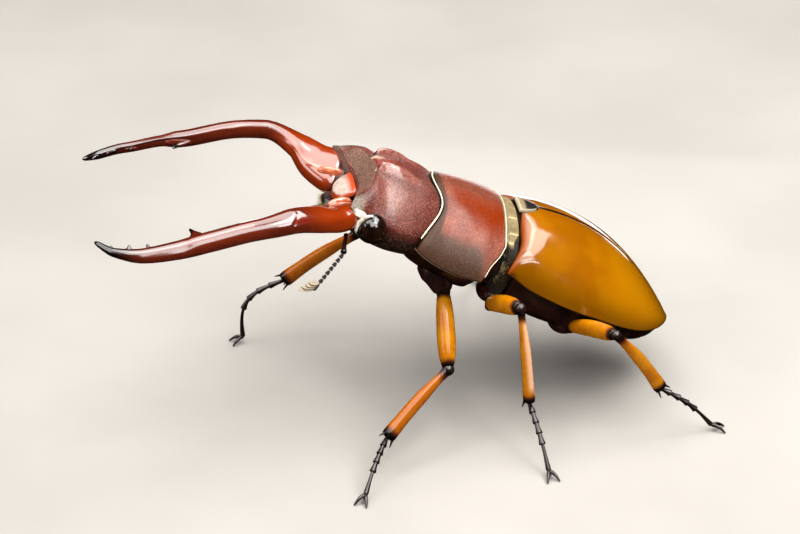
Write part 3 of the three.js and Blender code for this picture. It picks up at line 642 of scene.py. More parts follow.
def elytra_look():
    look = Look("elytron_lacquer", (134, 76, 1), coat_rough=0.07, specular=0.2, **AMBER)
    patch = look.noise(5, 2)
    behind = look.mark("behind")
    look.paint(patch.ramp(*PATCHY), 148, 90, 1)
    look.paint((behind.ramp(7, 23) + patch.span(-0.15, 0.15)).ramp(0.1, 1.0), 166, 106, 1)
    look.paint(look.mark("low").ramp(0.55, 1.0) * 0.8, 106, 66, 1)
    look.paint(behind.ramp(3.2, 2.7), 132, 60, 1)
    look.paint(look.mark("humeral"), 22, 12, 8)
    look.paint(look.pits(0.6, 0.16) * look.noise(2, 2).ramp(0.4, 0.65) * 0.5, 120, 60, 6)
    look.paint(look.mark("seam").ramp(0.3, 0.12), 46, 20, 6)
    look.paint(look.mark("edge").ramp(0.3, 0.14), 28, 13, 6)
    look.link("Coat Weight", behind.ramp(2.5, 3.0))
    rough = look.noise(0.8, 3).span(0.1, 0.2) + behind.ramp(2.8, 2.4) * 0.3
    return look.finish(rough, look.noise(0.3, 3) + look.pits(0.45, 0.24) * -0.6, 0.008, 0.35)


def clypeus_look():
    # The pale cream over the plate is a painted highlight; the orange-red at its root and rim is its own
    # colour.
    look = Look("clypeus_lacquer", (170, 154, 142), coat=0.6, coat_rough=0.08, specular=0.6)
    patch = look.noise(0.7, 2)
    look.paint(patch.ramp(*PATCHY), 184, 170, 158)
    look.paint(look.mark("root").ramp(0.5, 0.85), 176, 62, 24)
    look.paint(look.mark("edge").ramp(0.32, 0.1), 160, 56, 22)
    return look.finish(patch.span(0.14, 0.28), look.noise(0.2, 3), 0.012, 0.4)


def lobe_look():
    look = Look("jaw_lobe_lacquer", (176, 84, 52), coat=1.0, coat_rough=0.12, specular=0.6)
    patch = look.noise(0.8, 2)
    look.paint(patch.ramp(*PATCHY), 206, 124, 88)
    return look.finish(patch.span(0.15, 0.3), look.noise(0.2, 3), 0.012, 0.4)


def underside_look():
    look = Look("underside_cuticle", (26, 10, 7), coat=0.15, coat_rough=0.15, specular=0.4)
    look.paint(look.noise(2, 3).ramp(*PATCHY), 46, 17, 11)
    # Dark in the grooves: the belly's seams are dark joints, and in the mouth's troughs it is painted
    # shade.
    look.paint(look.mark("groove"), 10, 6, 5)
    height = look.noise(0.2, 3) + look.pits(0.45, 0.4) * -0.8
    return look.finish(look.noise(0.6, 3).span(0.26, 0.42), height, 0.03, 0.5)


def velvet_look():
    tint = (0.9, 0.85, 0.6, 1.0)
    look = Look("collar_velvet", (108, 92, 60), specular=0.3, sheen=0.2, sheen_rough=0.4, sheen_tint=tint)
    nap = look.noise(0.1, 4, 0.7)
    look.paint(look.noise(1.2, 3).ramp(0.3, 0.7), 142, 124, 88)
    look.paint(nap.ramp(0.6, 0.35) * 0.5, 82, 66, 40)
    look.paint(look.mark("line"), 214, 198, 150)
    look.paint(look.mark("dark"), 30, 23, 12)
    return look.finish(nap.span(0.55, 0.85), nap, 0.05, 0.7)


def scutellum_look():
    look = Look("scutellum_cuticle", (120, 104, 72), coat=0.4, coat_rough=0.12, specular=0.5)
    nap = look.noise(0.12, 4, 0.7)
    look.paint(nap.ramp(*PATCHY), 152, 136, 100)
    look.paint(look.mark("behind").ramp(2.6, 3.2), 16, 11, 8)
    look.paint(look.mark("edge").ramp(0.16, 0.08), 200, 188, 158)
    return look.finish(nap.span(0.3, 0.55), nap, 0.03, 0.5)


def fur_look():
    look = Look("fringe_hairs", (84, 66, 30), specular=0.4, sheen=0.3)
    shade = look.noise(0.7, 3)
    look.paint(shade.ramp(*PATCHY), 170, 144, 78)
    return look.finish(shade.span(0.45, 0.7), look.noise(0.1, 2), 0.01, 0.3)


def leg_look():
    look = Look("leg_amber", (172, 100, 2), coat=0.3, coat_rough=0.12, specular=0.22, **AMBER)
    patch = look.noise(1.8, 2)
    look.paint(patch.ramp(0.3, 0.7), 190, 122, 6)
    look.paint(look.mark("rust") * 0.7, 150, 70, 6)
    # Painted highlight: a pale streak down the middle of the mid shins.
    look.paint(look.mark("pale") * 0.6, 224, 172, 134)
    for key in ("start", "finish"):
        near = look.mark(key) + patch.span(-0.35, 0.35)
        look.paint(near.ramp(1.5, 0.7), 74, 26, 8)
        look.paint(near.ramp(0.95, 0.45), 14, 9, 7)
    height = look.noise(0.3, 2) + look.pits(0.45, 0.25) * -0.7
    return look.finish(look.noise(0.6, 3).span(0.2, 0.34), height, 0.005, 0.2)


def joint_look():
    look = Look("joint_cuticle", (14, 9, 8), coat=0.4, coat_rough=0.15, specular=0.55)
    patch = look.noise(0.8, 3)
    look.paint(patch.ramp(*PATCHY), 36, 19, 13)
    return look.finish(patch.span(0.22, 0.42), look.noise(0.15, 3), 0.02, 0.5)


def club_look():
    look = Look("club_felt", (140, 126, 102), sheen=0.4, specular=0.3)
    nap = look.noise(0.09, 4, 0.7)
    look.paint(nap.ramp(*PATCHY), 204, 192, 166)
    look.paint(look.mark("bead"), 34, 20, 14)
    return look.finish(nap.span(0.5, 0.85), nap, 0.03, 0.6)


def membrane_look():
    look = Look("joint_membrane", (32, 13, 10), coat=0.2, coat_rough=0.15, specular=0.4)
    patch = look.noise(0.6, 3)
    look.paint(patch.ramp(*PATCHY), 56, 24, 17)
    return look.finish(patch.span(0.25, 0.45), patch, 0.04, 0.5)


def floor_look():
    look = Look("pale_floor", (156, 153, 148), specular=0.3)
    shade = look.noise(40, 3)
    look.paint(shade.ramp(0.3, 0.7), 164, 161, 156)
    return look.finish(shade.span(0.6, 0.75), look.noise(1.5, 3), 0.02, 0.2)


# ---- Wing cases and the trunk under them, in the trunk's frame ----

# Drop of the side edge under the waist, against the distance behind the waist.
elytra_edge = smooth(
    (ELYTRA["front"], COLLAR_LINE), (5, -6.9), (9, -7.8), (14.5, -8.4), (20, -9.3),
    (ELYTRA["end"], -ELYTRA["end_drop"]),
)


def elytra_crown(x):
    t = np.maximum(0, (x - SCUTELLUM["end"]) / (ELYTRA["end"] - SCUTELLUM["end"]))
    return 0.3 - (ELYTRA["end_drop"] + 0.3) * t**2.2


def elytra_half(x):
    ahead = np.clip((x - ELYTRA["front"]) / (ELYTRA["widest"] - ELYTRA["front"]), 0, 1)
    behind = np.clip((x - ELYTRA["widest"]) / (ELYTRA["end"] - ELYTRA["widest"]), 0, 1)
    front = lerp(ELYTRA["shoulder_half"], ELYTRA["half"], np.sin(ahead * np.pi / 2))
    return np.where(x < ELYTRA["widest"], front, ELYTRA["half"] * np.maximum(0, 1 - behind**2.6) ** 0.75)


def scutellum_half(x):
    t = (x - ELYTRA["front"] + 0.5) / (SCUTELLUM["end"] - ELYTRA["front"] + 0.5)
    return SCUTELLUM["half"] * np.sqrt(np.maximum(0, 1 - np.clip(t, 0, 1) ** 1.6))


def elytra_point(x, turn, inset):
    """A point of the wing cases: turn is 0 on the midline and 90 degrees at the side edge."""
    power = 2 / ELYTRA["fullness"]
    half = elytra_half(x) - inset
    rise = elytra_crown(x) - inset - elytra_edge(x)
    turn = np.radians(turn)
    height = elytra_edge(x) + rise * np.maximum(0, np.cos(turn)) ** power
    return stack(x, half * np.sin(turn) ** power, height)


def elytron(side):
    rows, columns = 150, 90
    t = np.linspace(0, 1, rows)
    t = lerp(t, 1 - (1 - t) ** 1.6, 0.6) * 0.998
    x = column(lerp(ELYTRA["front"], ELYTRA["end"], t))
    height = elytra_crown(x) - elytra_edge(x)
    thickness = np.minimum(np.minimum(SHELL, 0.35 * elytra_half(x)), 0.5 * height)
    across = crowded(columns, 0.7)

    def grid(inset):
        suture = scutellum_half(x) + GAP / 4
        share = np.minimum(0.5, suture / (elytra_half(x) - inset))
        start = np.degrees(np.arcsin(share ** (ELYTRA["fullness"] / 2)))
        turn = lerp(start, 90, across)
        points = elytra_point(x, turn, inset)
        shoulder = 0.35 * hump(x, 4.6, 2) * hump(turn, 58, 14)
        front = 1.3 * (1 - round_off(x - ELYTRA["front"], 3.2)) * step(turn, 8, 30)
        bead = 0.16 * hump(turn, 90, 2.5) * step(x, 3, 6)
        points[..., 2] += np.where(inset < 0.01, shoulder - front, -front)
        points[..., 1] += np.where(inset < 0.01, bead, 0)
        points[..., 0] -= 1.4 * step(turn, 40, 88) * (1 - step(x, 2.2, 8))
        points[..., 1] *= side
        return points, turn

    outer, turn = grid(0 * thickness)
    inner, _ = grid(thickness)
    seam = np.where(across < 0.5, edge_distance(outer)[1], ELYTRA["half"])
    humeral = hump(x, 2.9, 0.5) * hump(turn, 87, 5)
    return shield(outer, inner, behind=x + 0 * turn, seam=seam, low=turn / 90, humeral=humeral)


def trunk_ring(x, half, top, side, bottom, columns=160):
    """A cross-section of the trunk: rounded over the top and flatter below the side line."""
    turn = np.linspace(0, 2 * np.pi, columns, endpoint=False)
    above = np.cos(turn) > 0
    power = np.where(above, 2 / ELYTRA["fullness"], 2 / 3.4)
    height = np.where(above, top - side, side - bottom)
    return stack(x, half * power_of(np.sin(turn), power), side + height * power_of(np.cos(turn), power))


belly = smooth((2, -11.7), (8, -12.5), (16, -12.8), (22, -12.7), (26.2, -11.9))


def under_elytra(start, finish, grooves):
    """The trunk under the wing cases, with a furrow round it at each of the grooves."""
    inset = SHELL + GAP
    x = lerp(start, finish, crowded(140, 0.4))
    half = elytra_half(x) - inset - 0.1
    top = elytra_crown(x) - inset - 0.1
    side = np.minimum(elytra_edge(x) + 0.2, elytra_crown(x) - inset - 0.35)
    sizes = [column(values) for values in (x, half, top, side, belly(x))]
    rings = trunk_ring(*sizes)
    furrow = sum((hump(x, groove, 0.16) for groove in grooves), 0 * x)
    swell = sum((hump(x, groove - 0.9, 0.8) for groove in grooves), 0 * x)
    ends = round_off(np.minimum(x - start, finish - x), 0.5)
    middle = stack(sizes[0], 0, (sizes[2] + sizes[4]) / 2)
    scale = (1 - 0.03 * furrow + 0.008 * swell) * lerp(0.93, 1, ends)
    rings = middle + (rings - middle) * column(scale)[..., None]
    return skin(rings, groove=np.clip(furrow, 0, 1))


def mesothorax():
    rows = crowded(30, 0.4)
    x = lerp(0.35, ELYTRA["front"] - GAP, rows)
    shrink = lerp(0.9, 0.1, step(rows, 0, 0.3))
    sizes = (x, 7.9 - shrink, -0.4 - shrink, COLLAR_LINE + 0 * x, -11.4 + shrink)
    rings = trunk_ring(*map(column, sizes), columns=240)
    y, z = rings[..., 1], rings[..., 2]
    off = np.abs(y)
    plate = hump(off, 5.2, 0.12) + hump(off, 2.6, 0.12) + hump(z, -2.5, 0.12)
    shown = step(z, -3.2, -2.6)
    line = np.clip(plate, 0, 1) * shown
    rim = (1 - step(column(x), 0.5, 0.85)) * shown
    limit = lerp(1.2, 2.1, step(z, -2.6, -1.2))
    dark = np.maximum(1 - shown, step(column(x) - limit, 0, 0.15))
    points = rings.copy()
    points[..., 2] -= 0.15 * line
    return skin(points, line=np.clip(line * 0.7 + 0.5 * rim, 0, 1), dark=dark)


def scutellum():
    rows, columns = 60, 40
    x = column(lerp(ELYTRA["front"] - 0.1, SCUTELLUM["end"] - 0.1, np.linspace(0, 1, rows)))
    half = np.maximum(0.05, scutellum_half(x) - GAP / 2)
    v = lerp(-1, 1, crowded(columns, 0.7))
    rise = 0.25 + 0.22 * (1 - v**2) * np.sqrt(half / SCUTELLUM["half"])
    outer = stack(x, v * half, rise)
    inner = stack(x, v * half, 0.25 - SCUTELLUM["thickness"] + 0 * rise)
    return shield(outer, inner, rim=0.25, behind=x + 0 * v)


# ---- Pronotum and the front chest, in the pronotum's frame ----

pronotum_half = smooth(
    (0, 8.95), (0.02, 9.4), (0.06, 9.75), (0.2, 10.15), (0.5, 10.85),
    (PRONOTUM["tooth_at"], PRONOTUM["tooth_half"]), (1, 11.3),
)
pronotum_drop = smooth((0, 6.2), (0.1, 6.6), (0.25, 7), (0.5, 7.2), (PRONOTUM["tooth_at"], 6.9), (1, 6.9))
# Share of the full width that is left between the side tooth and the hind corner.
pronotum_reach = smooth((0, 1), (PRONOTUM["tooth_at"], 1), (0.84, 0.92), (0.94, 0.81), (1, 0.7))


def front_margin(y):
    """How far the pronotum's front margin lies behind its middle."""
    return PRONOTUM["sweep"] * np.sin(np.pi * y / PRONOTUM["front_half"]) ** 2


def pronotum_point(u, v, inset=0.0):
    """A point of the pronotum: u runs from 0 at its front to 1 at its back, v from -1 left to 1 right."""
    v = v * pronotum_reach(u)
    edge = np.abs(v)
    sweep = (1 - u) ** 2 * (front_margin(v * PRONOTUM["front_half"]) - 1.35 * edge**5)
    depth = arch_depth(v, PRONOTUM["fullness"])
    crown = PRONOTUM["arch"] * np.maximum(0, np.sin(np.pi * u)) ** 0.8
    return stack(
        PRONOTUM["length"] * (u - 1) + sweep,
        v * (pronotum_half(u) - inset),
        crown - (pronotum_drop(u) + crown) * depth - inset * (1 - edge**8),
    )


def pronotum():
    rows, columns = 130, 200
    u = column(crowded(rows, 0.6))
    limit = math.radians(88)
    v = np.sin(np.linspace(-1, 1, columns) * limit) / math.sin(limit)
    outer = pronotum_point(u, v)
    dimple = 0.1 * hump(u, 0.62, 0.1) * hump(np.abs(v), 0.62, 0.07)
    furrow = 0.08 * hump(v, 0, 0.05) * hump(u, 0.55, 0.3)
    outer[..., 2] -= dimple + furrow
    across = edge_distance(outer)[1]
    off = np.abs(v)
    glow = step(u + 1.5 * (0.45 - off), 0.2, 0.55) * step(u, 0.12, 0.3) * hump(off, 0.42, 0.32)
    flanks = step(off, 0.62, 0.98) * step(1 - u, 0.05, 0.4)
    # Grey and painted shade: the front edge, the low flanks and a faint strip down the middle.
    ashen = np.clip(1.2 * step(0.14 - u, 0, 0.14) + flanks + 0.42 * hump(v, 0, 0.3), 0, 1)
    return shield(outer, pronotum_point(u, v, SHELL), glow=glow, ashen=ashen, flank=across)


def margin_bead(u, v, radius, behind):
    """A bead that follows the pronotum's margin through the points u, v."""
    path = pronotum_point(u, v)
    path[:, 0] += behind
    path[:, 2] += BEAD_LIFT
    size = smooth((0, 0.7), (0.55, 0.9), (0.85, 1), (1, 0.85))
    share = np.abs(v) / np.max(np.abs(v))
    along = np.linspace(0, 1, len(v))
    return limb(path, lambda t: radius * size(np.interp(t, along, share)), rings=200, sides=12, crowd=0.2)


def hind_margin():
    """The margin from the left side tooth round the hind edge to the right one."""
    flank = np.linspace(0.8, 0.995, 20)
    u = np.concatenate([flank, np.ones(80), flank[::-1]])
    v = np.concatenate([np.full(20, -1.0), np.linspace(-1, 1, 80), np.full(20, 1.0)])
    return u, v


def waist_skin():
    """The dark skin between the two halves of the chest."""
    return ball((0.2, 0, -6.5), (1.9, 6.4, 4.6))


def prosternum():
    inset = SHELL + GAP + 0.1
    side_line = -5.4
    bottom = smooth((0, -10.9), (0.3, -PRONOTUM["sternum"]), (0.7, -11.7), (0.9, -11.5), (1, -10.9))
    rings = []
    for u in crowded(60, 0.5):
        half = min(9.1, float(pronotum_half(u)) - inset - 0.2)
        v = np.sin(np.linspace(-1, 1, 70) * math.radians(84))
        roof = pronotum_point(u, v * half / (pronotum_half(u) - inset), inset)
        turn = np.linspace(0, np.pi, 70)[1:-1]
        low = side_line + (bottom(u) - side_line) * np.sin(turn) ** 0.7
        y = np.concatenate([roof[:, 1], 0.97 * half * pronotum_reach(u) * np.cos(turn)])
        z = np.concatenate([np.minimum(roof[:, 2], -0.4), low])
        rings.append(stack(lerp(-9.25, -0.4, u) + front_margin(y) * (1 - u) ** 2, y, z))
    return skin(np.array(rings), groove=0)


# ---- Head, in its own frame; distances forward from the neck are positive ----

head_half = smooth(
    (HEAD["back"], 7.1), (1.5, 8.4), (3, 8.85), (5, 9), (6.5, 8.7), (8, 8.5), (9.6, 8.9),
    (HEAD["length"], HEAD["corner_half"]),
)
head_crown = smooth(
    (HEAD["back"], -0.35), (2, 0.5), (5, 0.95), (7.4, 0.95), (9, 0.45), (HEAD["length"], -0.3),
)
head_side = smooth(
    (HEAD["back"], -4.7), (4, -4.1), (7.8, -3.1), (9.6, -2.3), (HEAD["length"], -HEAD["corner_drop"]),
)
head_base = smooth((HEAD["back"], -9.3), (4, -8.9), (8, -8.1), (HEAD["length"], -6.9))
# The face falls away in front of the ridges, in a hollow that widens towards the jaws.
face_depth = smooth((7, 0), (7.5, 0.2), (8, 0.35), (9.3, 0.75), (HEAD["length"], 1.2))
face_half = smooth((7, 2.8), (7.9, 4), (8.5, 5), (9.5, 6.2), (HEAD["length"], 7.2))
crease_line = smooth((7.1, 1.6), (7.8, 2.0), (8.5, 3.0), (8.9, 4.0), (9.5, 5.0))
ridge_line = smooth((HEAD["back"], 2.8), (2, 2.55), (5.5, 2.1), (7.2, 1.65))
ridge_height = smooth(
    (HEAD["back"], 0), (2, 0.35), (4, 0.95), (5.8, 1.25), (6.8, 1.1), (7.4, 0.6), (7.9, 0),
)
ridge_taper = smooth((HEAD["back"], 1), (5.6, 1), (7.9, 0.6))


def head_top(forward, y):
    off = np.abs(y)
    share = np.clip(off / head_half(forward), 0, 1)
    round_edge = 0.6 * share**2.3 + 0.4 * arch_depth(share, 2.1)
    fall = lerp(round_edge, share**5, step(forward, 6, 9))
    ridge = ridge_height(forward) * np.exp(-ridge_offset(forward, off) ** 2.2)
    face = 1 - step(off, 0.15 * face_half(forward), face_half(forward))
    groove = 0.14 * hump(off, crease_line(forward), 0.15) * crease_reach(forward)
    brow = 0.8 * (np.maximum(0, forward - 9.2) / 1.8) ** 2 * (1 - step(off, 4.5, 7.5))
    hollow = face_depth(forward) * face
    return lerp(head_crown(forward), head_side(forward), fall) + ridge - hollow - groove - brow


def ridge_offset(forward, off):
    """Distance from a ridge's line in its own half widths; the outer side is the wider one."""
    aside = off - ridge_line(forward)
    return np.abs(aside) / (np.where(aside < 0, 0.65, 0.98) * ridge_taper(forward))


def crease_reach(forward):
    """The creases run forward and outward from the ridges' tips, and fade before the jaws."""
    return step(forward, 7.3, 7.6) * (1 - step(forward, 8.0, 9.0))


def head_point(forward, y, z):
    """The front is hollow between its corners; the back follows the pronotum's front margin."""
    hollow = HEAD["recess"] * (1 - (y / head_half(forward)) ** 2)
    nape = front_margin(y) + z * math.tan(math.radians(PITCH["pronotum"] - PITCH["head"]))
    x = hollow * step(forward, 6, HEAD["length"]) + nape * (1 - step(forward, HEAD["back"], 3))
    return stack(x - forward, y, z)


def head():
    forward = column(np.concatenate([
        np.linspace(HEAD["back"], 6.6, 70, endpoint=False),
        np.linspace(6.6, 9.2, 70, endpoint=False),
        np.linspace(9.2, HEAD["length"], 30),
    ]))
    half, side = head_half(forward), head_side(forward)
    limit = math.radians(86)
    y = half * np.sin(np.linspace(-1, 1, 220) * limit) / math.sin(limit)
    top = head_point(forward, y, head_top(forward, y))
    turn = np.linspace(0, np.pi, 70)[1:-1]
    flank = half * 0.985 * power_of(np.cos(turn), 0.8)
    depth = side + (head_base(forward) - side) * np.sin(turn) ** 0.75
    rings = np.concatenate([top, head_point(forward, flank, depth)], axis=1)
    rim = HEAD["length"]
    _, y_rim, z_rim = np.moveaxis(rings[-1], -1, 0)
    share = column(np.linspace(0.06, 0.7, FACE_RINGS))
    inner = head_point(rim, lerp(y_rim, 0, share), lerp(z_rim, HEAD["face_height"], share))
    tuck = column(np.linspace(1, 0.1, NAPE_RINGS))[..., None]
    nape = rings[:1] * (1, 0.96, 1) + tuck * (1.4, 0, -0.25)
    rings = np.concatenate([nape, rings, inner])
    forward = np.concatenate([np.full((NAPE_RINGS, 1), HEAD["back"]), forward])
    return skin(rings, **head_marks(rings, forward))


def head_marks(rings, forward):
    """Where the head's finish changes: ridges, hollow face, cheeks, eye rims, underside and seams, and
    where light and shade are painted.
    """
    ahead, y, z = -rings[..., 0], rings[..., 1], rings[..., 2]
    off = np.abs(y)
    front = np.full((FACE_RINGS, 1), HEAD["length"] + 1)
    along = np.broadcast_to(np.concatenate([forward, front]), off.shape)
    top = z > head_side(along) - 0.02
    beside = ridge_offset(along, off)
    outline = np.hypot(beside / 1.3, np.maximum(0, along - 6.3) / 1.5)
    inner = step(ridge_line(along) - off, -0.5, 0.1) * step(along, 5.6, 6.6)
    ridges = step(along, 0.6, 3.2) * (1 - step(along, 7.2, 7.8))
    valley = (1 - step(off, 1.0, 1.8)) * step(along, 3, 5.5) * (1 - step(along, 7.0, 7.8))
    frons = (1 - step(off, crease_line(along) - 0.2, crease_line(along) + 1.2)) * step(along, 7.3, 7.9)
    crease = hump(off, crease_line(along), 0.13) * crease_reach(along)
    wall = step(along, HEAD["length"] + 0.2, HEAD["length"] + 0.6)
    low = 1 - step(z, -4.2, -2.4)
    distance = np.linalg.norm(rings * (1, 0, 1) - np.array([EYE["at"][0], 0, EYE["at"][2]]), axis=-1)
    orbit = (1 - step(distance, 2.2, 3.6)) * step(-ahead, -7.8, -5.5)
    cheek = hump(along, 5.6, 2.2) * hump(off, 5.9, 2)
    return {
        "ridge": (1 - step(beside, 0.75, 1.25)) * ridges * top,
        "lip": hump(outline, 1.04, 0.08) * inner * top,
        "gap": hump(outline, 0.78, 0.1) * inner * step(along, 6.4, 7) * top,
        "corner": step(along, 9, 10.4) * step(off, 5.8, 7.4) * top,
        "valley": valley * top,
        "frons": np.maximum(frons * top, wall * (1 - low)),
        "crease": crease * top,
        "orbit": orbit,
        "cheek": cheek * top,
        "under": np.clip((head_side(along) - z) / 4 + 0.08, 0, 1) * (1 - wall) + wall * low,
        "margin": along - HEAD["back"],
    }


def eye(side):
    x, y, z = EYE["at"]
    return ball((x, side * y, z), [EYE["radius"]] * 3, 64, 96)


def canthus(side):
    """The bracket of the head's side that grips the eye from in front, painted pale as a highlight."""
    x, y, z = EYE["at"]
    turn = np.radians((100, 125, 150, 175, 200))
    grip = stack(x + EYE["grip"] * np.cos(turn), side * (y + 0.75), z + EYE["grip"] * np.sin(turn))
    size = smooth((0, 0.1), (0.4, 0.3), (0.7, 0.26), (1, 0.1))
    arm = [grip[1] + (0, -side * 0.2, 0.1), (-9.9, side * 8.75, -2.1), (-10.75, side * 8.35, -1.65)]
    width = smooth((0, 0.36), (0.4, 0.46), (1, 0.3))
    return together([
        limb(grip, lambda t: (size(t), 0.2), toward=(0, side, 0)),
        limb(arm, lambda t: (width(t), 0.18), toward=(0, side, 0.6), cap=(0.5, 0.5)),
    ])


# ---- Jaws, in their own frame ----

jaw_out = smooth(
    (0, 5.3), (2.2, 7.7), (4, 9.8), (8, 12.5), (12, 13.5), (18, 13.9), (22, 14.5), (26, 14.3),
    (29.3, 12.95), (JAW_REACH, 10.9),
)
jaw_up = smooth(
    (0, -2.6), (2.2, -1.8), (4, -0.5), (8, 1.05), (12, 0.94), (18, 0.14), (22, -0.25), (26, -0.6),
    (29.3, -0.5), (JAW_REACH, 0.1),
)
jaw_wide = smooth(
    (0, 7.2), (2.2, 5.6), (4, 4.1), (6, 3.5), (8, 3.25), (12, 2.65), (19, 2.5), (21.5, 2.35), (26, 1.85),
    (29.3, 1.1), (JAW_REACH, 0.5),
)
jaw_thick = smooth(
    (0, 3.6), (2.2, 3.2), (4, 2.85), (8, 2.45), (12, 2.3), (19, 2.15), (21.5, 1.4), (26, 1.3), (29.3, 1.15),
    (JAW_REACH, 0.5),
)
jaw_tilt = smooth((0, -22), (2.2, -10), (4, 10), (8, 35), (JAW_REACH, 38))


def jaw_centre(reach, side):
    return stack(-reach, side * jaw_out(reach), jaw_up(reach))


def jaw_axes(reach, side):
    """Across a jaw: its wide axis, outward and down, its thick axis, and the plain up and out."""
    ahead, behind = np.minimum(reach + 0.2, JAW_REACH), np.maximum(reach - 0.2, 0)
    along = jaw_centre(ahead, side) - jaw_centre(behind, side)
    along[..., 1] *= step(reach, -3, 5)
    along = unit(along)
    up = unit(np.array([0, 0, 1.0]) - along * along[..., 2:])
    out = unit(-side * np.cross(up, along))
    tilt = np.radians(jaw_tilt(reach))[..., None]
    return out * np.cos(tilt) - up * np.sin(tilt), out * np.sin(tilt) + up * np.cos(tilt), up, out


def jaw(side):
    reach = lerp(JAW_ROOT, JAW_REACH, crowded(280, 0.5))
    held = np.maximum(reach, 0)
    wide, thick, _, _ = jaw_axes(held, side)
    turn = np.linspace(0, 2 * np.pi, 90, endpoint=False)
    base = round_off(reach - JAW_ROOT, 1.6) * step(reach, JAW_ROOT - 3, 2.2) ** 0.35
    ends = base * round_off(JAW_REACH + 0.01 - reach, 0.45)
    # The root is boxy, and the inner edge is drawn out sharp towards the teeth.
    square = 2 / column(lerp(2.6, 2, step(reach, 2, 9)))
    sharp = 0.1 * hump(turn, np.pi, 0.25) * column(step(reach, 9, 13))
    carina = column(lerp(math.radians(105), math.radians(160), step(reach, 0, 5)))
    ridge = hump(turn - carina, 0, 0.09) * column(step(reach, -0.5, 0.5) * (1 - step(reach, 3.5, 5.5)))
    # A small triangular facet, with its point on the top edge, is pressed into the upper face.
    share = np.clip((math.radians(112) - turn) / math.radians(62), 0, 1)
    crease = step(0.95 * share - np.abs(column(reach) - 7.3), -0.12, 0.12)
    crease = crease * step(turn, math.radians(44), math.radians(54))
    swell = 1 + sharp + 0.04 * ridge - 0.045 * crease
    across = column(jaw_wide(held) / 2 * ends) * power_of(np.cos(turn), square) * swell
    high = column(jaw_thick(held) / 2 * ends) * power_of(np.sin(turn), square) * swell
    centre = jaw_centre(held, side)
    centre[:, 0] -= reach - held
    points = centre[:, None] + wide[:, None] * across[..., None] + thick[:, None] * high[..., None]
    inner = np.clip(hump(turn, np.pi, 0.25) * column(step(reach, 16, 22)), 0, 1)
    shape = skin(points, reach=reach, inner=inner, carina=np.clip(ridge, 0, 1), facet=crease)
    return together([shape] + [tooth(sizes, side) for sizes in JAW_TEETH])


def tooth(sizes, side):
    """A thorn on a jaw's inner edge, flared at its root."""
    reach, length, rise, radius = sizes
    _, _, up, out = jaw_axes(np.array(reach, float), side)
    root = jaw_centre(np.array(reach, float), side) - 0.3 * out
    point = [root + ((0.3 - length) * out + rise * up) * t for t in (0, 0.5, 1)]
    point[2] = point[2] - 0.12 * length * np.array([1, 0, 0])
    flare = smooth(
        (0, 2.7 * radius), (0.25, 2.2 * radius), (0.5, 1.25 * radius), (0.75, 0.45 * radius), (1, 0.14),
    )
    stop = smooth((0, 0.8 * radius), (0.3, 0.6 * radius), (0.6, 0.42 * radius), (1, 0.14))
    shape = limb(point, lambda t: (flare(t), stop(t)), cap=(0.1, 0.12))
    return shape.marked(reach=reach, tooth=step(shape.marks["start"], 0.45 * length, 0.8 * length))


def jaw_hinge(side):
    """The rounded knob on which a jaw turns, deep in the head's front corner."""
    back, front = jaw_centre(np.array(0.0), side), jaw_centre(np.array(1.4), side)
    knots = [back + (1.8, -side * 0.7, -0.4), front - (0, 0, 0.3)]
    return limb(knots, lambda t: (lerp(2.7, 2, t), lerp(1.6, 1, t)), cap=(0.8, 0.5), sides=40)


def jaw_lobe(side):
    """The lens-shaped lobe at the root of a jaw's inner side."""
    middle = jaw_centre(np.array(0.9), side) + (0, -side * 2.1, 0.55)
    knots = [middle + (-1.7, side * 0.7, 0.1), middle, middle + (1.6, -side * 0.35, -0.1)]
    return limb(knots, lambda t: (0.5, 0.9), cap=(1.4, 1.4), sides=40)


# ---- Mouth and feelers ----


def clypeus():
    """The face plate between the jaws, a rounded lobe that slopes forward and down."""
    t = crowded(60, 0.8)
    half = smooth((0, 2.3), (0.12, 2.7), (0.6, 2.3), (0.86, 1.6), (1, 0.15))(t)
    v = lerp(-1, 1, crowded(70, 0.8))
    y = column(half) * v
    x = column(lerp(-9.2, -11.75, t)) + 0 * v
    sag = 1.5 * column(t) + 0.25 * column(t) ** 2
    outer = stack(x, y, -2.0 - sag + 0.35 * (1 - v**2) * column(np.sqrt(1 - t**2 + 1e-6)))
    inner = stack(x, y, -2.95 - sag + 0 * v)
    return shield(outer, inner, rim=0.5, root=1 - t)


def mouth():
    """The lumpy lower mouthparts, which taper forward."""
    length = 2.6
    half = smooth((0, 2.6), (1.5, 2.3), (length, 0.9))
    t = crowded(40, 0.8) * length
    turn = np.linspace(0, 2 * np.pi, 60, endpoint=False)
    thick = lerp(1, 0.55, t / length) * round_off(length + 0.01 - t, 0.4)
    lumps = 1 + 0.06 * np.cos(9 * turn)
    y = column(half(t)) * np.cos(turn) * lumps
    z = column(-5.5 + 0.1 * t) + column(thick) * np.sin(turn) * lumps
    # The troughs between the lumps are painted dark, as shade.
    groove = 0.5 - 0.5 * np.cos(9 * turn) + 0 * column(t)
    return skin(stack(column(-10.2 - t), y, z), groove=np.clip(groove, 0, 1))


def palp(side):
    """A jointed mouth feeler, thicker at the end of each of its joints."""
    knots = np.array([(-11.6, 1.7, -6.9), (-12.6, 2.1, -7.3), (-13.3, 2.2, -8.1), (-13.2, 2.1, -8.8)])
    path = in_head(knots * (1, side, 1))
    size = smooth((0, 0.2), (0.28, 0.34), (0.33, 0.2), (0.6, 0.33), (0.65, 0.2), (0.9, 0.34), (1, 0.3))
    return limb(path, size, rings=60, sides=16, cap=(0.1, 0.25))


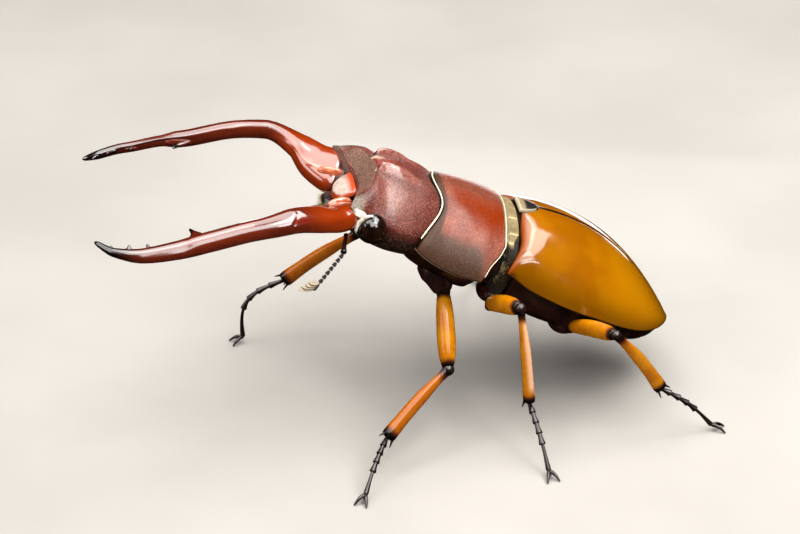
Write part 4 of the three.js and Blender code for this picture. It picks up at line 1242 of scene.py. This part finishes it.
def scape(name, side):
    root = in_head((-10.4, side * 6.9, -5.9))
    elbow = np.array(FEELERS[name]["elbow"])
    knots = [lerp(root, elbow, t) for t in (0.04, 0.5, 0.98)]
    size = smooth((0, 0.2), (0.06, 0.3), (0.12, 0.24), (0.7, 0.28), (0.92, 0.4), (1, 0.36))
    return limb(knots, size, rings=70, sides=16, cap=(0.15, 0.3))


def feeler_end(name, side):
    """The short round joints after the elbow, and the comb of leaves at the end."""
    elbow, root, lean = (np.array(FEELERS[name][key]) for key in ("elbow", "club", "lean"))
    cup = smooth((0, 0.17), (0.5, 0.25), (0.8, 0.29), (1, 0.18))
    leaf = smooth((0, 0.32), (0.5, 0.56), (0.85, 0.56), (1, 0.34))
    shapes = []
    for i in range(7):
        ends = [lerp(elbow, root, (i + share) / 7) for share in (0.05, 0.97)]
        shapes.append(limb(ends, cup, rings=14, sides=14, cap=(0.05, 0.1), bead=1))
    stem = smooth((0, 0.2), (1, 0.3))
    shapes.append(limb([root, root + 1.25 * lean], stem, rings=14, sides=12, bead=1))
    for i in range(4):
        start = root + (0.34 * i + 0.05) * lean
        tip = start + (-1.25 - 0.22 * i, side * 0.1, 0.25)
        shapes.append(limb([start, (start + tip) / 2, tip], lambda t: (leaf(t), 0.14), rings=24, sides=20))
    return together(shapes)


# ---- Legs, in the beetle's frame ----


def seated(coxa, knee, kind):
    """The way from a coxa to the knee, and how far along it the coxa's surface lies."""
    lead = unit(knee - coxa)
    return lead, 1 / np.linalg.norm(lead / COXA[kind])


class Leg:
    """The joints of a leg, and where its thigh leaves the coxa."""

    def __init__(self, name):
        self.name, self.kind = name, name.split("_")[0]
        self.coxa, self.knee, self.ankle, self.toe = (np.array(joint, float) for joint in LEGS[name])
        self.lead, self.seat = seated(self.coxa, self.knee, self.kind)


def bowed(start, finish, t, bow):
    """Points on the way from one joint to the next, bowed upward across the line between them."""
    line = finish - start
    upward = unit(np.cross(np.cross(line, (0, 0, 1)), line))
    return start + line * column(t) + upward * bow * column(np.sin(np.pi * np.asarray(t)))


def hip(leg):
    """A coxa: a rounded cone, sunk in the chest, with the thigh at its lower end."""
    inward = np.array([0, -np.sign(leg.coxa[1]), 0])
    coxa = leg.coxa + 1.1 * inward + (0.8, 0, 0.7) if leg.kind == "mid" else leg.coxa
    lead, seat = seated(coxa, leg.knee, leg.kind)
    forward = 1.0 if leg.kind == "fore" else 0.0
    width, depth, height = COXA[leg.kind]
    deep = coxa + depth * inward + np.array([-forward, 0, 1.1 + 0.4 * forward])
    knots = [deep, coxa + (-0.5 * forward, 0, 0.45), coxa + lead * (seat + 0.1)]
    size = smooth(
        (0, 0.9 + 0.4 * forward), (0.4, 1 + 0.3 * forward), (0.75, 0.8 + 0.1 * forward), (1, 0.55),
    )
    limit = 0.92 * min(width, 1.25 * height)
    return limb(knots, lambda t: (limit * size(t), 0.9 * limit * size(t)), rings=50, sides=36, cap=(1, 0.7))


def oval(limit, size, flatness):
    """The radii of a limb that is narrower across than high, as limb() takes them."""
    return lambda t: (flatness * limit * size(t), limit * size(t))


def femur(leg):
    length = np.linalg.norm(leg.knee - leg.coxa)
    t = np.linspace((leg.seat - 0.25) / length, 1 - 0.02 / length, 9)
    size = smooth((0, 0.5), (0.1, 0.78), (0.35, 0.95), (0.6, 1), (0.8, 0.92), (0.93, 0.7), (1, 0.5))
    path = bowed(leg.coxa, leg.knee, t, FEMUR_BOW)
    return limb(path, oval(FEMUR[leg.kind], size, 0.86), rings=90, sides=36, cap=(0.4, 0.5))


def trochanter(leg):
    """The small dark wedge between a coxa and its femur."""
    inner, width = (0.35, 0.62) if leg.kind == "mid" else (0.7, 0.72)
    start, finish = (leg.coxa + leg.lead * (leg.seat + shift) for shift in (-inner, 0.7))
    knots = [start, finish + (0, 0, -0.2)]
    size = width * FEMUR[leg.kind]
    return limb(knots, lambda t: size * lerp(1.0, 0.75, t), rings=24, sides=24, cap=(0.4, 0.5))


def tibia(leg):
    length = np.linalg.norm(leg.ankle - leg.knee)
    path = bowed(leg.knee, leg.ankle, np.linspace(-0.1 / length, 1 - 0.05 / length, 7), TIBIA_BOW)
    size = smooth((0, 0.42), (0.06, 0.74), (0.12, 0.7), (0.45, 0.98), (0.75, 1.04), (0.95, 1.14), (1, 1.05))
    rust = 1.0 if leg.kind == "fore" else 0.25
    shin = limb(path, oval(TIBIA[leg.kind], size, 0.82), rings=90, sides=32, cap=(0.3, 0.25), rust=rust)
    line = unit(leg.ankle - leg.knee)
    off_axis = shin.points - leg.knee
    off_axis -= np.outer(off_axis @ line, line)
    # A pale streak on the +X side of the mid shins, a painted highlight.
    middle = step(shin.marks["start"], 0.8, 2.5) * step(shin.marks["finish"], 1.2, 2.6)
    pale = middle * step(off_axis[:, 0], -0.25, 0.3) * (1.5 if leg.kind == "mid" else 0)
    shin.marks.update(pale=pale, start=shin.marks["start"] * 0.6)
    return together([shin] + spurs(leg))


def spurs(leg):
    """The spurs at the end of a shin."""
    line = unit(leg.ankle - leg.knee)
    aside = unit(np.cross(line, (0, 0, 1)))
    upward = unit(np.cross(aside, line))
    width = TIBIA[leg.kind]
    shapes = []
    for turn, height in ((-1, -0.6), (1, -0.6), (0.4, 0.75)):
        root = leg.ankle - line * 0.35 + upward * height * width + aside * turn * 0.45 * width
        tip = root + line * 1.0 + upward * 0.5 * height + aside * turn * 0.3
        knots = [root, lerp(root, tip, 0.5), tip]
        shape = limb(knots, lambda t: 0.19 * (1 - 0.7 * t), rings=14, sides=12, cap=(0.05, 0.1))
        shapes.append(shape.marked(start=0, finish=0))
    return shapes


def tarsus(leg):
    """Four bell-shaped joints, a long fifth one and a pair of hooked claws."""
    arch = FOOT_ARCH.get(leg.name, LEVEL_ARCH)
    heel = unit((leg.toe - leg.ankle) * (1, 1, 0))
    wrist = leg.toe - 0.55 * CLAW["length"] * heel
    wrist[2] = CLAW["height"]
    bell = smooth((0, 0.26), (0.3, 0.28), (0.7, 0.37), (0.92, 0.43), (1, 0.34))
    last = smooth((0, 0.2), (0.3, 0.21), (0.8, 0.3), (1, 0.34))

    length = 6.4  # of the foot, in short joints

    def joint(start, finish, points, size, rings, end):
        path = bowed(leg.ankle, wrist, np.linspace(start, finish, points) / length, arch)
        return limb(path, size, rings=rings, sides=18, cap=(0.05, end))

    shapes = [joint(i, i + 1.06, 4, bell, 26, 0.12) for i in range(4)]
    shapes.append(joint(3.95, length, 5, last, 36, 0.25))
    shapes += [claw(wrist, heel, turn) for turn in (-1, 1)]
    bristle = [wrist + heel * 0.2, wrist + heel * 0.9 - (0, 0, 0.25)]
    shapes.append(limb(bristle, lambda t: 0.12 * (1 - 0.5 * t), rings=10, sides=8, cap=(0.05, 0.1)))
    return together(shapes)


def claw(wrist, heel, turn):
    angle = math.radians(turn * CLAW["spread"])
    cos, sin = math.cos(angle), math.sin(angle)
    out = np.array([heel[0] * cos - heel[1] * sin, heel[0] * sin + heel[1] * cos, 0])
    path = np.array([wrist + out * CLAW["length"] * t for t in (0, 0.3, 0.6, 0.85, 1)])
    path[:, 2] = (0.8, 0.82, 0.62, 0.3, 0.1)
    size = smooth((0, 0.25), (0.3, 0.24), (0.7, 0.17), (1, 0.08))
    return limb(path, size, rings=40, sides=14, cap=(0.1, 0.1))


# ---- Hairs ----


def collar_fringe():
    """Short hairs on the collar behind the pronotum, thickest low on its sides."""
    seed = np.random.default_rng(3)
    count = 700
    z = -2.4 - 5.6 * seed.uniform(0, 1, count)
    share = np.clip((z + 0.6) / -4.2, 0, 1) ** 0.55
    low = z < COLLAR_LINE
    under = (1 - np.clip((COLLAR_LINE - z) / 5.3, 0, 1) ** 2.6) ** (1 / 2.6)
    width = 7.7 * np.where(low, under, share)
    side = np.where(seed.uniform(size=count) < 0.5, -1, 1)
    roots = stack(seed.uniform(0.3, 1.9, count), side * width, z)
    roots[:, 1] -= side * 0.15
    out = stack(0.5, side * (0.35 + share), np.where(low, -0.5, 0.3))
    out = unit(out) + seed.normal(scale=0.25, size=(count, 3))
    return hairs(roots, out, seed.uniform(0.4, 1.0, count) * np.where(z < -4, 1, 0.6))


def mouth_brush():
    """The brush of hairs at the tip of the mouth."""
    seed = np.random.default_rng(5)
    count = 160
    y = seed.uniform(-1.9, 1.9, count)
    roots = stack(-12.3 + 0.15 * np.abs(y) ** 1.5, y, seed.uniform(-5.9, -4.9, count))
    out = stack(-1.0, 0.3 * y / 1.9, seed.uniform(-0.5, 0.1, count))
    out = out + seed.normal(scale=0.12, size=(count, 3))
    return hairs(roots, out, seed.uniform(0.6, 1.2, count))


# ---- The beetle, put together ----


def build_trunk():
    elytra, under, ivory = elytra_look(), underside_look(), bead_look()
    for name, side in SIDES.items():
        piece(f"elytron_shell_{name}", elytron(side).moved(in_trunk), elytra, "elytra", f"elytron_{name}")
    chest = under_elytra(ELYTRA["front"], MIDDLE - GAP / 4, ())
    abdomen = under_elytra(MIDDLE + GAP / 4, BELLY["end"], BELLY["grooves"])
    front = margin_bead(np.zeros(90), np.linspace(-0.95, 0.95, 90), 0.115, -0.1)
    back = margin_bead(*hind_margin(), 0.065, 0.05)
    for name, shape, place, look, slot, *nodes in (
        ("scutellum_shield", scutellum(), in_trunk, scutellum_look(), "pubescence", "scutellum"),
        ("collar", mesothorax(), in_trunk, velvet_look(), "pubescence", "mesothorax"),
        ("waist_skin", waist_skin(), in_trunk, membrane_look(), "joints"),
        ("hind_chest", chest, in_trunk, under, "underside", "metathorax"),
        ("belly", abdomen, in_trunk, under, "underside", "abdomen"),
        ("collar_hairs", collar_fringe(), in_trunk, fur_look(), "pubescence"),
        ("pronotum_shield", pronotum(), in_pronotum, pronotum_look(), "shield", "pronotum"),
        ("front_bead", front, in_pronotum, ivory, "pubescence"),
        ("hind_bead", back, in_pronotum, ivory, "pubescence"),
        ("front_chest", prosternum(), in_pronotum, under, "underside", "prosternum"),
    ):
        piece(name, shape.moved(place), look, slot, *nodes)


def build_head():
    rim, facets, cuticle = canthus_look(), eye_look(), head_look()
    piece("head_capsule", head().moved(in_head), cuticle, "shield", "head")
    for name, side in SIDES.items():
        piece(f"eye_ball_{name}", eye(side).moved(in_head), facets, "eyes", f"eye_{name}")
        piece(f"canthus_{name}", canthus(side).moved(in_head), rim, "shield")
    piece("face_plate", clypeus().moved(in_head), clypeus_look(), "clypeus", "clypeus")
    piece("mouth", mouth().moved(in_head), underside_look(), "underside", "mouthparts")
    piece("mouth_hairs", mouth_brush().moved(in_head), fur_look(), "pubescence")


def build_jaws():
    lacquer, membrane, lobe = jaw_look(), membrane_look(), lobe_look()
    for name, side in SIDES.items():
        piece(f"jaw_{name}", jaw(side).moved(in_jaws), lacquer, "jaws", f"mandible_{name}")
        piece(f"jaw_hinge_{name}", jaw_hinge(side).moved(in_jaws), membrane, "joints")
        piece(f"jaw_lobe_{name}", jaw_lobe(side).moved(in_jaws), lobe, "jaws")


def build_feelers():
    dark, felt = joint_look(), club_look()
    for name, side in SIDES.items():
        piece(f"feeler_scape_{name}", scape(name, side), dark, "joints", f"antenna_{name}_scape")
        piece(f"feeler_club_{name}", feeler_end(name, side), felt, "clubs", f"antenna_{name}_club")
        piece(f"mouth_palp_{name}", palp(side), dark, "joints", f"palp_{name}")


def build_legs():
    amber, dark, skin_look = leg_look(), joint_look(), membrane_look()
    for leg in map(Leg, LEGS):
        name = leg.name
        knee = ball(leg.knee, [KNEE * FEMUR[leg.kind]] * 3, 24, 32)
        piece(f"hip_{name}", hip(leg), skin_look, "joints", f"leg_{name}_coxa")
        piece(f"trochanter_{name}", trochanter(leg), dark, "joints")
        piece(f"thigh_{name}", femur(leg), amber, "legs", f"leg_{name}_femur")
        piece(f"knee_{name}", knee, dark, "joints")
        piece(f"shin_{name}", tibia(leg), amber, "legs", f"leg_{name}_tibia")
        piece(f"foot_{name}", tarsus(leg), dark, "joints", f"leg_{name}_tarsus")


# ---- Studio ----

CAMERA = {
    "azimuth": 8.96, "elevation": 29.5, "distance": 380, "target": (-13.05, 0, 17.65), "lens": 134.6,
}
MIDST = (-5, 0, 20)  # what the lamps are aimed at
WARM, COOL = (1, 0.97, 0.94), (0.97, 0.98, 1)
# Lamps: the way to each from the midst as an angle round from +X and one up, its distance, size,
# power and colour.
LAMPS = {
    "key": (-12, 62, 350, (310, 150), 1.1, WARM),
    "front": (-78, 57, 350, (300, 210), 1.1, WARM),
    "top": (80, 73, 350, (330, 270), 1.2, WARM),
    "ahead": (-175, 68, 330, (200, 210), 0.6, WARM),
    "left": (-172, 27, 350, (190, 150), 0.35, WARM),
    "horizon": (76, -9, 70, (90, 14), 0.011, COOL),
    "window_upper": (-60, 38, 300, (60, 18), 0.05, WARM),
    "window_lower": (-60, 32, 300, (60, 18), 0.05, WARM),
}
SHEEN_ONLY = {"horizon"}  # lamps that show in reflections alone
FLOOR_REACH = 3.0  # in metres


def add_camera():
    data = bpy.data.cameras.new("camera")
    data.lens = CAMERA["lens"]
    data.sensor_width = 36
    data.clip_start = 0.01
    azimuth, elevation = math.radians(CAMERA["azimuth"]), math.radians(CAMERA["elevation"])
    flat = math.cos(elevation)
    away = np.array([-math.sin(azimuth) * flat, -math.cos(azimuth) * flat, math.sin(elevation)])
    target = np.array(CAMERA["target"], float)
    place = to_metres(target + CAMERA["distance"] * away)
    bpy.context.scene.camera = set_down("camera", data, place, to_metres(target))


def add_floor():
    mesh = bpy.data.meshes.new("floor")
    corners = [(x * FLOOR_REACH, y * FLOOR_REACH, 0) for x, y in ((-1, -1), (1, -1), (1, 1), (-1, 1))]
    mesh.from_pydata(corners, [], [(0, 1, 2, 3)])
    mesh.materials.append(floor_look())
    floor = set_down("floor", mesh)
    floor.visible_glossy = False


def add_lights():
    for name, (turn, rise, distance, size, power, colour) in LAMPS.items():
        turn, rise = math.radians(turn), math.radians(rise)
        flat = distance * math.cos(rise)
        way = (flat * math.cos(turn), flat * math.sin(turn), distance * math.sin(rise))
        data = bpy.data.lights.new(name, "AREA")
        data.shape = "RECTANGLE"
        data.size, data.size_y = size[0] * MM, size[1] * MM
        data.energy = power
        data.color = colour
        lamp = set_down(name, data, to_metres(np.add(way, MIDST)), to_metres(MIDST))
        lamp.visible_camera = False
        lamp.visible_diffuse = name not in SHEEN_ONLY


def add_sky():
    world = bpy.data.worlds.new("world")
    world.use_nodes = True
    sky = world.node_tree.nodes["Background"]
    sky.inputs["Color"].default_value = (0.97, 0.97, 1.0, 1.0)
    sky.inputs["Strength"].default_value = 0.12
    world.cycles_visibility.glossy = False
    bpy.context.scene.world = world
    bpy.context.scene.view_settings.view_transform = "Standard"


add_camera()
add_floor()
add_lights()
add_sky()
build_trunk()
build_head()
build_jaws()
build_feelers()
build_legs()
